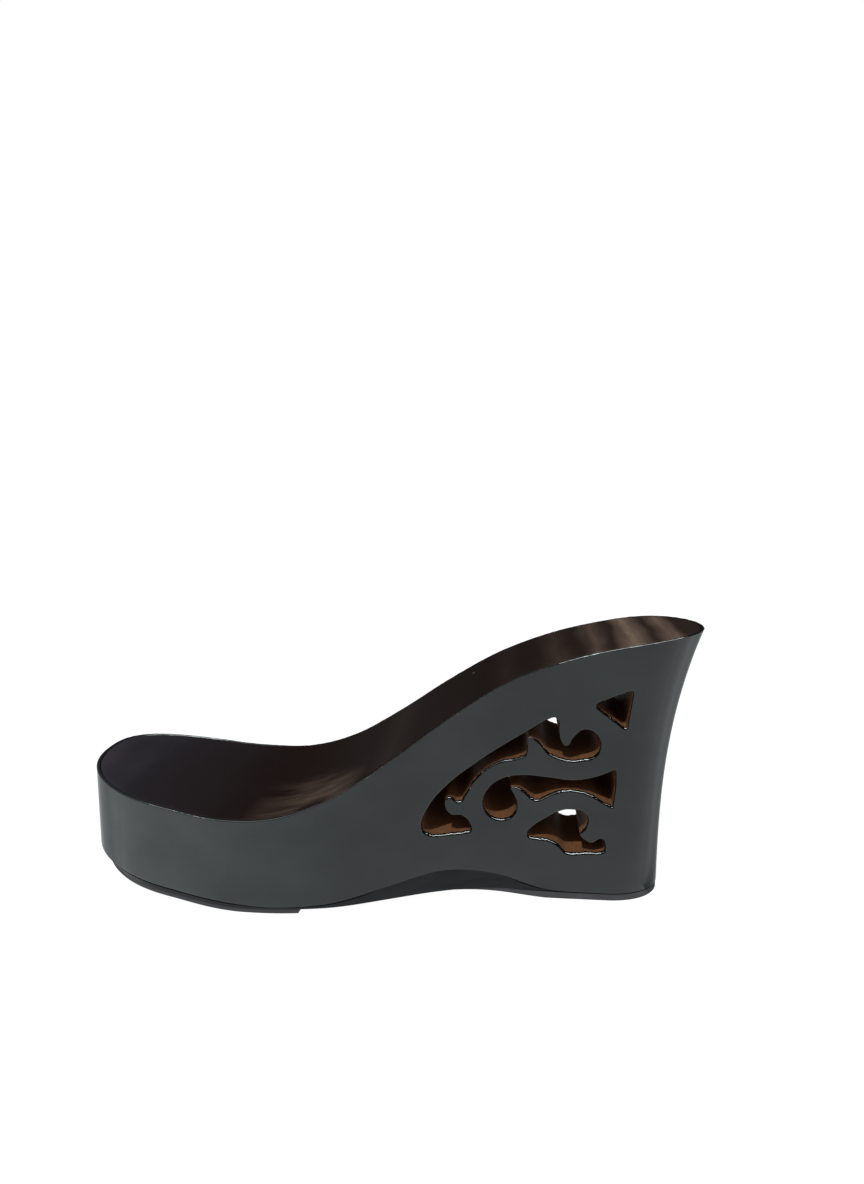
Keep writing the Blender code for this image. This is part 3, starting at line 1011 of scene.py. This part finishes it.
def ramp(tree, value, stops):
    """Turn a value into a colour by stops of place and colour."""
    node = add_node(tree, "ShaderNodeValToRGB", {0: value})
    band = node.color_ramp
    for place, colour in stops[2:]:
        band.elements.new(place)
    for element, (place, colour) in zip(band.elements, sorted(stops, key=lambda stop: stop[0])):
        element.position = place
        element.color = (*colour, 1.0)
    return node.outputs["Color"]


def levels(tree, value, low, high, to_low=0.0, to_high=1.0):
    """Stretch a value from one span to another, clamped."""
    inputs = {"Value": value, "From Min": low, "From Max": high, "To Min": to_low, "To Max": to_high}
    return add_node(tree, "ShaderNodeMapRange", inputs).outputs["Result"]


def combine(tree, operation, first, second):
    """Join two values by an operation."""
    return add_node(tree, "ShaderNodeMath", {0: first, 1: second}, operation=operation).outputs[0]


def mixed(tree, factor, first, second):
    """Mix two colours by a factor."""
    node = add_node(tree, "ShaderNodeMix", data_type="RGBA")
    for index, value in ((0, factor), (6, first), (7, second)):
        if isinstance(value, bpy.types.NodeSocket):
            tree.links.new(value, node.inputs[index])
        else:
            node.inputs[index].default_value = (*value, 1.0)
    return node.outputs[2]


def bumped(tree, shader, height, strength, distance):
    """Raise a surface by a height value."""
    inputs = {"Height": height, "Strength": strength, "Distance": distance}
    node = add_node(tree, "ShaderNodeBump", inputs)
    tree.links.new(node.outputs["Normal"], shader.inputs["Normal"])


def specks(tree, scale, size, share):
    """Mask of scattered dust specks: 1 on a speck, 0 elsewhere."""
    vector = placed(tree)
    cells = add_node(tree, "ShaderNodeTexVoronoi", {"Vector": vector, "Scale": scale})
    close = levels(tree, cells.outputs["Distance"], size, 0.5 * size)
    chosen = add_node(tree, "ShaderNodeSeparateColor", {"Color": cells.outputs["Color"]}).outputs[0]
    return combine(tree, "MULTIPLY", close, levels(tree, chosen, 1.0 - share, 1.0 - 0.9 * share))


def lacquer_finish(settings):
    """Mirror-gloss black lacquer, paler towards the toe, with painted shade on upward faces, smudges, dust
    specks, a slight wave.
    """
    material, tree, shader = tree_of("black_lacquer")
    base = tuple(settings.lacquer)
    pallor = noise_field(tree, placed(tree, (1.0, 0.6, 1.3)), 26.0, 4.0, 0.6)
    toe = levels(tree, along_foot(tree), 0.0, -0.11)
    pallor = levels(tree, pallor, 0.3, 0.7, 0.5, 1.3)
    pallor = combine(tree, "MULTIPLY", pallor, levels(tree, toe, 0.0, 1.0, 0.02, 1.0))
    # Painted shade: the paler tone is weaker on upward faces, so the rim's top stays darker.
    facing = add_node(tree, "ShaderNodeTexCoord").outputs["Normal"]
    upward = add_node(tree, "ShaderNodeSeparateXYZ", {"Vector": facing}).outputs["Z"]
    pallor = combine(tree, "MULTIPLY", pallor, levels(tree, upward, 0.25, 0.7, 1.0, 0.85))
    tone = mixed(tree, pallor, base, tuple(settings.pallor))
    dust = specks(tree, 120.0, 0.05, 0.10)
    colour = mixed(tree, dust, tone, tuple(settings.dust))
    tree.links.new(colour, shader.inputs["Base Color"])
    haze = noise_field(tree, placed(tree), 60.0, 3.0, 0.6)
    tree.links.new(levels(tree, haze, 0.3, 0.8, 0.012, 0.035), shader.inputs["Roughness"])
    shader.inputs["IOR"].default_value = 1.505
    shader.inputs["Specular Tint"].default_value = (0.92, 1.0, 1.0, 1.0)
    smudges = noise_field(tree, placed(tree, (1.0, 1.0, 1.4)), 30.0, 3.0, 0.55)
    mirror = levels(tree, smudges, 0.36, 0.62, 0.46, 0.535)
    tree.links.new(mirror, shader.inputs["Specular IOR Level"])
    wave = noise_field(tree, placed(tree), 70.0, 1.0)
    bumped(tree, shader, wave, 0.05, 0.0004)
    return material


def scroll_finish(settings):
    """Brown satin inside the scrolls, with the block's grain along them."""
    material, tree, shader = tree_of("scroll_brown")
    grain = noise_field(tree, placed(tree, (1.0, 0.35, 1.6)), 1200.0, 3.0, 0.55)
    cloud = noise_field(tree, placed(tree, (1.0, 0.5, 1.0)), 90.0, 2.0)
    value = combine(tree, "ADD", combine(tree, "MULTIPLY", grain, 0.6), combine(tree, "MULTIPLY", cloud, 0.4))
    colour = ramp(tree, value, [(0.32, tuple(settings.scroll_dark)), (0.7, tuple(settings.scroll_light))])
    tree.links.new(colour, shader.inputs["Base Color"])
    tree.links.new(levels(tree, grain, 0.3, 0.7, 0.5, 0.65), shader.inputs["Roughness"])
    shader.inputs["Specular IOR Level"].default_value = 0.04
    bumped(tree, shader, grain, 0.12, 0.0003)
    return material


def band_finish(settings):
    """Satin black edge paint below the lacquered wall and under the arch."""
    material, tree, shader = tree_of("sole_band_black")
    base = tuple(settings.band)
    tone = noise_field(tree, placed(tree, (0.4, 1.0, 2.0)), 120.0, 3.0)
    lighter = tuple(BAND_LIGHTER * channel for channel in base)
    tree.links.new(ramp(tree, tone, [(0.35, base), (0.7, lighter)]), shader.inputs["Base Color"])
    tree.links.new(levels(tree, tone, 0.3, 0.7, 0.3, 0.45), shader.inputs["Roughness"])
    shader.inputs["Specular IOR Level"].default_value = 0.06
    bumped(tree, shader, noise_field(tree, placed(tree), 900.0, 2.0), 0.08, 0.0002)
    return material


def heel_sheen_bands(tree):
    """Strength of the painted sheen bands that cross the footbed at the heel."""
    warp = noise_field(tree, placed(tree, (1.0, 0.4, 0.4)), 70.0, 2.0)
    place = combine(tree, "ADD", along_foot(tree), levels(tree, warp, 0.2, 0.8, -0.0025, 0.0025))
    total = 0.0
    for centre, half_width, strength in HEEL_SHEEN_BANDS:
        away = combine(tree, "ABSOLUTE", combine(tree, "SUBTRACT", place, centre * MM), 0.0)
        band = levels(tree, away, half_width * MM, 0.0, 0.0, strength)
        total = combine(tree, "ADD", band, total)
    brush = noise_field(tree, placed(tree, (1.0, 0.08, 0.08)), 420.0, 3.0, 0.6)
    return combine(tree, "MULTIPLY", total, levels(tree, brush, 0.25, 0.7, 0.55, 1.1))


def arch_sheen_streaks(tree):
    """Strength of the painted sheen streaks along the arch's outer edge."""
    split = add_node(tree, "ShaderNodeSeparateXYZ", {"Vector": placed(tree)}).outputs
    front = levels(tree, split["X"], *(mark * MM for mark in ARCH_FRONT))
    rear = levels(tree, split["X"], *(mark * MM for mark in ARCH_REAR))
    edge = levels(tree, split["Y"], *(mark * MM for mark in ARCH_EDGE))
    streak = noise_field(tree, placed(tree, (0.16, 1.0, 0.4), (0.0, 0.0, ARCH_STREAK_TURN)), 170.0, 3.0, 0.6)
    region = combine(tree, "MULTIPLY", combine(tree, "MULTIPLY", front, rear), edge)
    return combine(tree, "MULTIPLY", region, levels(tree, streak, 0.38, 0.66, 0.0, 0.43))


def footbed_finish(settings):
    """Dark satin footbed: bluish at the toe, brown at the heel, with painted sheen at the tip, in bands and
    in streaks, and specks.
    """
    material, tree, shader = tree_of("footbed_brown")
    place = levels(tree, along_foot(tree), -0.5 * LENGTH * MM, 0.5 * LENGTH * MM)
    cloud = noise_field(tree, placed(tree, (1.0, 0.5, 0.5)), 34.0, 3.0)
    place = combine(tree, "ADD", place, levels(tree, cloud, 0.2, 0.8, -0.06, 0.06))
    toe, dark, brown = tuple(settings.toe), tuple(settings.dark), tuple(settings.brown)
    # Painted sheen: the footbed's tip is lighter than the toe's colour.
    tip = tuple(TIP_SHEEN * channel for channel in toe)
    tone = ramp(tree, place, [(0.02, tip), (0.09, toe), (0.3, dark), (0.66, dark), (0.86, brown)])
    # Painted sheen: pale bands across the heel and streaks along the arch.
    sheen = combine(tree, "MAXIMUM", heel_sheen_bands(tree), arch_sheen_streaks(tree))
    tone = mixed(tree, sheen, tone, tuple(settings.sheen))
    dust = specks(tree, 90.0, 0.06, 0.12)
    colour = mixed(tree, dust, tone, tuple(settings.dust))
    tree.links.new(colour, shader.inputs["Base Color"])
    tree.links.new(levels(tree, cloud, 0.3, 0.8, 0.56, 0.66), shader.inputs["Roughness"])
    shader.inputs["Specular IOR Level"].default_value = 0.025
    pores = add_node(tree, "ShaderNodeTexVoronoi", {"Vector": placed(tree), "Scale": 1500.0})
    bumped(tree, shader, pores.outputs["Distance"], 0.05, 0.0002)
    return material


def rubber_finish(settings):
    """Matt blue-black rubber with a fine grain and scuffs."""
    material, tree, shader = tree_of("sole_rubber")
    scuffs = noise_field(tree, placed(tree, (0.5, 1.0, 1.0)), 260.0, 4.0, 0.65)
    colour = ramp(tree, scuffs, [(0.42, tuple(settings.colour)), (0.8, tuple(settings.worn))])
    tree.links.new(colour, shader.inputs["Base Color"])
    tree.links.new(levels(tree, scuffs, 0.3, 0.7, 0.5, 0.68), shader.inputs["Roughness"])
    bumped(tree, shader, noise_field(tree, placed(tree), 2400.0, 2.0), 0.25, 0.0002)
    return material


def floor_finish(settings):
    """Pale matt floor, lit from below like a light table."""
    material, _, shader = tree_of("pale_floor")
    shader.inputs["Base Color"].default_value = (*settings.floor, 1.0)
    shader.inputs["Roughness"].default_value = 0.9
    shader.inputs["Specular IOR Level"].default_value = 0.1
    shader.inputs["Emission Color"].default_value = (1.0, 1.0, 1.0, 1.0)
    shader.inputs["Emission Strength"].default_value = settings.floor_glow
    return material


def glowing(name, colour):
    """Return a new material that only gives off light, with its node tree and its shader."""
    material, tree, shader = tree_of(name)
    shader.inputs["Base Color"].default_value = (0.0, 0.0, 0.0, 1.0)
    shader.inputs["Specular IOR Level"].default_value = 0.0
    shader.inputs["Emission Color"].default_value = (*colour, 1.0)
    return material, tree, shader


def plain_glow(name, strength):
    """White that gives off an even light."""
    material, _, shader = glowing(name, (1.0, 1.0, 1.0))
    shader.inputs["Emission Strength"].default_value = strength
    return material


def graded_glow(name, colour):
    """Light of a fan or a strip, by the brightness of each of its points."""
    material, tree, shader = glowing(name, colour)
    glow = add_node(tree, "ShaderNodeAttribute", attribute_name="glow")
    tree.links.new(glow.outputs["Fac"], shader.inputs["Emission Strength"])
    return material


def graded_sheet(rows, glow):
    """Worked mesh of a fan or a strip from rows of points in millimetres, with each column's brightness."""
    work = bmesh.new()
    layer = work.verts.layers.float.new("glow")
    lines = []
    for points in rows:
        line = [work.verts.new(point) for point in points * MM]
        for vert, brightness in zip(line, glow):
            vert[layer] = brightness
        lines.append(line)
    for lower, upper in zip(lines, lines[1:]):
        for here in range(len(lower) - 1):
            work.faces.new((lower[here], lower[here + 1], upper[here + 1], upper[here]))
    return work


def floor_fan(fan):
    """Worked mesh of a fan on the floor, whose brightness changes with the direction."""
    marks = np.array(fan.glows)
    turns = np.linspace(marks[0, 0], marks[-1, 0], FAN_STEPS + 1)
    glow = np.interp(turns, marks[:, 0], marks[:, 1])
    turns = np.radians(turns)
    away = np.stack([np.cos(turns), np.sin(turns), np.zeros(len(turns))], axis=1)
    rows = [np.array([*fan.centre, FAN_HEIGHT]) + radius * away for radius in FAN_RADII]
    return graded_sheet(rows, glow)


def rim_strip(stretch, camera):
    """Worked mesh of a light strip with sparkles, which the rim's rounded edge mirrors along a stretch."""
    stations = np.arange(stretch.start, stretch.end, STRIP_SPACING)
    places, _ = edge_ring(stations, 1.0, 0.0, top_height)
    along = np.gradient(places, axis=0)
    along /= np.linalg.norm(along, axis=1)[:, None]
    outward = np.cross(along, (0.0, 0.0, 1.0))
    outward /= np.linalg.norm(outward, axis=1)[:, None]
    upward = np.cross(outward, along)
    sight = places - camera
    sight /= np.linalg.norm(sight, axis=1)[:, None]
    rows = []
    for slope in np.linspace(*RIM_SLOPES, STRIP_ROWS + 1):
        normals = math.cos(slope) * outward + math.sin(slope) * upward
        away = sight - 2.0 * np.sum(sight * normals, axis=1)[:, None] * normals
        rows.append(places + STRIP_DISTANCE * away)
    uneven = wobble(stations / RIM_SPARKLE_PITCH, stretch.start)
    uneven += RIM_FINE_SHARE * wobble(stations / RIM_FINE_PITCH, 2.0)
    ends = ease(stations, stretch.start, stretch.start + RIM_FADE)
    ends *= ease(stations, stretch.end, stretch.end - RIM_FADE)
    glow = ends * (stretch.steady + stretch.sparkle * np.clip(uneven, 0.0, 1.0))
    return graded_sheet(rows, glow)


class SOLE_OT_lacquered_block(Operator):
    """Make the lacquered block with its rim, scrolls and sole band"""

    bl_idname = "sole.lacquered_block"
    bl_label = "Lacquered block"

    def execute(self, context):
        settings = context.scene.sole_block
        rim_round = settings.rim_round / MM
        stations = stations_between(0.0, LENGTH)
        shell = Shell()
        aprons = {side: [] for side in INWARD}
        outlines = [scroll_outline(name, cut_out.knots) for name, cut_out in CUT_OUTS.items()]
        every_outline = np.concatenate(outlines)
        for seed, (outline, cut_out) in enumerate(zip(outlines, CUT_OUTS.values())):
            cut = cut_scroll(shell, outline, cut_out, every_outline, settings, 10.0 * seed)
            for side, apron in cut.items():
                aprons[side].append(apron)
        foot, top = lacquered_wall(shell, stations, rim_round, aprons)

        rings = [top]
        ripple = settings.rim_ripple / MM
        for inset, drop in rim_profile(rim_round):
            share = ripple * ease(min(inset, RIM_WIDTH - inset), 0.0, RIPPLE_SHARE * RIM_WIDTH)
            rings.append(shell.ring(edge_ring(stations, 1.0, inset, rippled_top(drop, share))))
        for lower, upper in zip(rings, rings[1:]):
            shell.wrap(loop_of(lower), loop_of(upper), LACQUER)
        shell.cross(*rings[-1], LACQUER)

        sole_band(shell, stations, foot)

        finishes = [lacquer_finish(settings), scroll_finish(settings), band_finish(settings)]
        piece = shell.build("lacquered_block", finishes)
        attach(piece, BODY)
        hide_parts("wedge_body")
        return {"FINISHED"}


class SOLE_OT_footbed(Operator):
    """Make the footbed sheet that lies in the block's recess"""

    bl_idname = "sole.footbed"
    bl_label = "Footbed"

    def execute(self, context):
        settings = context.scene.sole_footbed
        edge = settings.edge_round / MM
        stations = stations_between(0.0, LENGTH)
        start = RIM_WIDTH + SEAT_GAP
        profile = [(start, FOOTBED_THICKNESS), (start, edge)]
        profile += [(start + edge * across, edge * down) for across, down in quarter_round()]
        shell = Shell()
        rings = []
        for inset, drop in profile:
            sides = edge_ring(stations, 1.0, inset, lambda along, side: top_height(along, side) - drop)
            rings.append(shell.ring(sides))
        for lower, upper in zip(rings, rings[1:]):
            shell.wrap(loop_of(lower), loop_of(upper))
        shell.cross(*rings[0])
        shell.crease(loop_of(rings[0]))
        outer_points, inner_points = sides
        lines = [rings[-1][0]]
        for part in np.linspace(0.0, 1.0, FOOTBED_COLUMNS + 1)[1:-1]:
            points = outer_points + part * (inner_points - outer_points)
            points[:, 2] = top_height(points[:, 0] + 0.5 * LENGTH, points[:, 1] + CENTRE_Y)
            numbers = shell.add(points)
            numbers[[0, -1]] = rings[-1][0][[0, -1]]
            lines.append(numbers)
        for first, second in zip(lines, [*lines[1:], rings[-1][1]]):
            shell.cross(first, second)
        piece = shell.build("footbed_sheet", [footbed_finish(settings)])
        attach(piece, BODY)
        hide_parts("footbed")
        return {"FINISHED"}


class SOLE_OT_rubber(Operator):
    """Make the two rubber pieces that touch the ground"""

    bl_idname = "sole.rubber"
    bl_label = "Tread and heel lift"

    def execute(self, context):
        settings = context.scene.sole_rubber
        rubber = rubber_finish(settings)
        self.make_tread(settings, rubber)
        self.make_lift(settings, rubber)
        return {"FINISHED"}

    def make_tread(self, settings, rubber):
        """Make the forefoot tread, with its rear edge pared."""
        edge = settings.edge_round / MM
        stations = stations_between(0.0, TREAD_REAR)
        profile = [(0.0, -SEAT_RAISED), (0.0, TREAD_THICKNESS - edge)]
        rounding = quarter_round()[-2::-1]
        profile += [(edge * down, TREAD_THICKNESS - edge * across) for across, down in rounding]
        profile.append((edge, TREAD_THICKNESS))
        tread = Shell()
        rings = []
        for inset, drop in profile:
            own = stations.copy()
            own[-1] -= settings.rear_slope / MM * drop / TREAD_THICKNESS
            rings.append(tread.ring(self.under_ring(own, TREAD_INSET + inset, drop)))
        self.close(tread, rings, "forefoot_tread_rubber", rubber, "forefoot_tread")

    def make_lift(self, settings, rubber):
        """Make the heel lift, pared to its front and ribbed round the heel."""
        edge = settings.edge_round / MM
        stations = stations_between(LIFT_FRONT, LENGTH, TOE_STEPS, LIFT_HEEL_STEPS)
        pared = np.clip((stations - LIFT_FRONT) / (LIFT_FLAT - LIFT_FRONT), 0.0, 1.0)
        thickness = LIFT_FRONT_EDGE + (LIFT_THICKNESS - LIFT_FRONT_EDGE) * pared
        lead = 1.0 - ease(stations, LIFT_FRONT, LIFT_FLAT)
        pitch = settings.rib_pitch / MM
        run = HEEL_ROUND * np.arccos(np.clip(1.0 - (LENGTH - stations) / HEEL_ROUND, 0.0, 1.0))
        full = LENGTH - RIB_FULL * HEEL_ROUND
        at_heel = settings.rib_height / MM * ease(stations, LENGTH - HEEL_ROUND, full)
        parts = np.linspace(0.0, 1.0 - edge / LIFT_THICKNESS, LIFT_SIDE_STEPS)
        lift = Shell()
        rings = []
        for part in (*parts, 1.0):
            drop = part * (thickness - SEAT_RAISED * lead) - (1.0 - part) * SEAT_RAISED
            wave = 0.5 - 0.5 * np.cos(2.0 * math.pi * (run + drop) / pitch)
            ribs = at_heel * wave * ease(part, *RIB_TOP) * ease(1.0 - part, *RIB_BOTTOM)
            rounded = edge if part == 1.0 else 0.0
            inset = LIFT_INSET + LIFT_TUCK * lead + rounded + ribs
            rings.append(lift.ring(self.under_ring(stations, inset, drop)))
        self.close(lift, rings, "heel_lift_rubber", rubber, "heel_lift")

    @staticmethod
    def under_ring(stations, inset, drop):
        """A ring of a rubber piece, drop below the piece's top."""
        inset = band_inset(stations) + inset
        return edge_ring(stations, 0.0, inset, lambda along, side: underside_height(along) - SEAT_GAP - drop)

    @staticmethod
    def close(shell, rings, name, material, node):
        """Join a rubber piece's rings and put it in place of its solid."""
        for lower, upper in zip(rings, rings[1:]):
            shell.wrap(loop_of(lower), loop_of(upper))
        shell.cross(*rings[0])
        shell.cross(*rings[-1])
        piece = shell.build(name, [material], SHARP_ANGLE)
        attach(piece, BODY)
        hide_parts(node)


class SOLE_OT_stage(Operator):
    """Set the floor, the light and the camera"""

    bl_idname = "sole.stage"
    bl_label = "Stage"

    def execute(self, context):
        scene = context.scene
        settings = scene.sole_stage
        scene.view_settings.view_transform = "Standard"

        work = bmesh.new()
        bmesh.ops.create_grid(work, x_segments=FLOOR_SEGMENTS, y_segments=FLOOR_SEGMENTS, size=DOME_RADIUS)
        self.add_prop(work, "floor", floor_finish(settings))

        work = bmesh.new()
        around, up = DOME_SEGMENTS
        bmesh.ops.create_uvsphere(work, u_segments=around, v_segments=up, radius=DOME_RADIUS)
        dome = self.add_prop(work, "white_dome", plain_glow("white_dome", settings.dome_glow))
        self.hide_from(dome, "diffuse", "glossy", "transmission", "shadow")

        camera_at = np.array(settings.camera_at) / MM
        sheets = [(name, floor_fan(fan), settings.fan_glow) for name, fan in FLOOR_FANS.items()]
        for number, stretch in enumerate(RIM_STRETCHES):
            sheets.append((f"rim_strip_{number}", rim_strip(stretch, camera_at), settings.rim_glow))
        for name, work, glow in sheets:
            sheet = self.add_prop(work, name, graded_glow(name, tuple(glow)))
            self.hide_from(sheet, "camera", "diffuse", "transmission", "shadow")

        world = bpy.data.worlds.new("white_room")
        world.use_nodes = True
        background = world.node_tree.nodes["Background"]
        background.inputs["Color"].default_value = (1.0, 1.0, 1.0, 1.0)
        background.inputs["Strength"].default_value = settings.room_light
        scene.world = world

        self.add_light("key_light", settings.key_light, settings.key_from, settings.key_angle)
        fill = self.add_light("fill_light", settings.fill_light, settings.fill_from, settings.fill_angle)
        fill.visible_glossy = False

        camera = bpy.data.cameras.new("camera")
        camera.lens = settings.lens
        camera.sensor_width = SENSOR_WIDTH
        camera.clip_start = CLIP_START
        camera_object = bpy.data.objects.new("camera", camera)
        camera_object.location = settings.camera_at
        camera_object.rotation_euler = settings.camera_turn
        scene.collection.objects.link(camera_object)
        scene.camera = camera_object
        return {"FINISHED"}

    @staticmethod
    def hide_from(prop, *rays):
        """Hide a piece of the stage from some kinds of rays."""
        for kind in rays:
            setattr(prop, f"visible_{kind}", False)

    @staticmethod
    def add_light(name, strength, source, angle):
        """Add a far light that shines from a direction."""
        light = bpy.data.lights.new(name, "SUN")
        light.energy = strength
        light.angle = angle
        holder = bpy.data.objects.new(name, light)
        holder.rotation_euler = Vector(source).to_track_quat("Z", "Y").to_euler()
        bpy.context.scene.collection.objects.link(holder)
        return holder

    @staticmethod
    def add_prop(work, name, material):
        """Make a piece of the stage from a worked mesh."""
        mesh = bpy.data.meshes.new(name)
        work.to_mesh(mesh)
        work.free()
        mesh.materials.append(material)
        prop = bpy.data.objects.new(name, mesh)
        bpy.context.scene.collection.objects.link(prop)
        return prop


class SOLE_PT_pieces(Panel):
    """List of the sole unit's pieces in the sidebar"""

    bl_idname = "SOLE_PT_pieces"
    bl_label = "Wedge shoe sole unit"
    bl_space_type = "VIEW_3D"
    bl_region_type = "UI"
    bl_category = "Sole unit"

    def draw(self, context):
        for operator, group in PIECES:
            column = self.layout.column(align=True)
            column.operator(operator.bl_idname)
            settings = getattr(context.scene, group)
            for name in settings.__annotations__:
                column.prop(settings, name)


GROUPS = {
    "sole_block": BlockSettings,
    "sole_footbed": FootbedSettings,
    "sole_rubber": RubberSettings,
    "sole_stage": StageSettings,
}
PIECES = (
    (SOLE_OT_lacquered_block, "sole_block"),
    (SOLE_OT_footbed, "sole_footbed"),
    (SOLE_OT_rubber, "sole_rubber"),
    (SOLE_OT_stage, "sole_stage"),
)
CLASSES = (*GROUPS.values(), *(operator for operator, _ in PIECES), SOLE_PT_pieces)


def register():
    """Register the classes and put the settings on the scene."""
    for entry in CLASSES:
        bpy.utils.register_class(entry)
    for name, group in GROUPS.items():
        setattr(bpy.types.Scene, name, PointerProperty(type=group))


def unregister():
    """Take the settings and the classes away again."""
    for name in GROUPS:
        delattr(bpy.types.Scene, name)
    for entry in reversed(CLASSES):
        bpy.utils.unregister_class(entry)


def main():
    """Make every piece and the stage."""
    register()
    bpy.ops.sole.lacquered_block()
    bpy.ops.sole.footbed()
    bpy.ops.sole.rubber()
    bpy.ops.sole.stage()


if __name__ == "__main__":
    main()
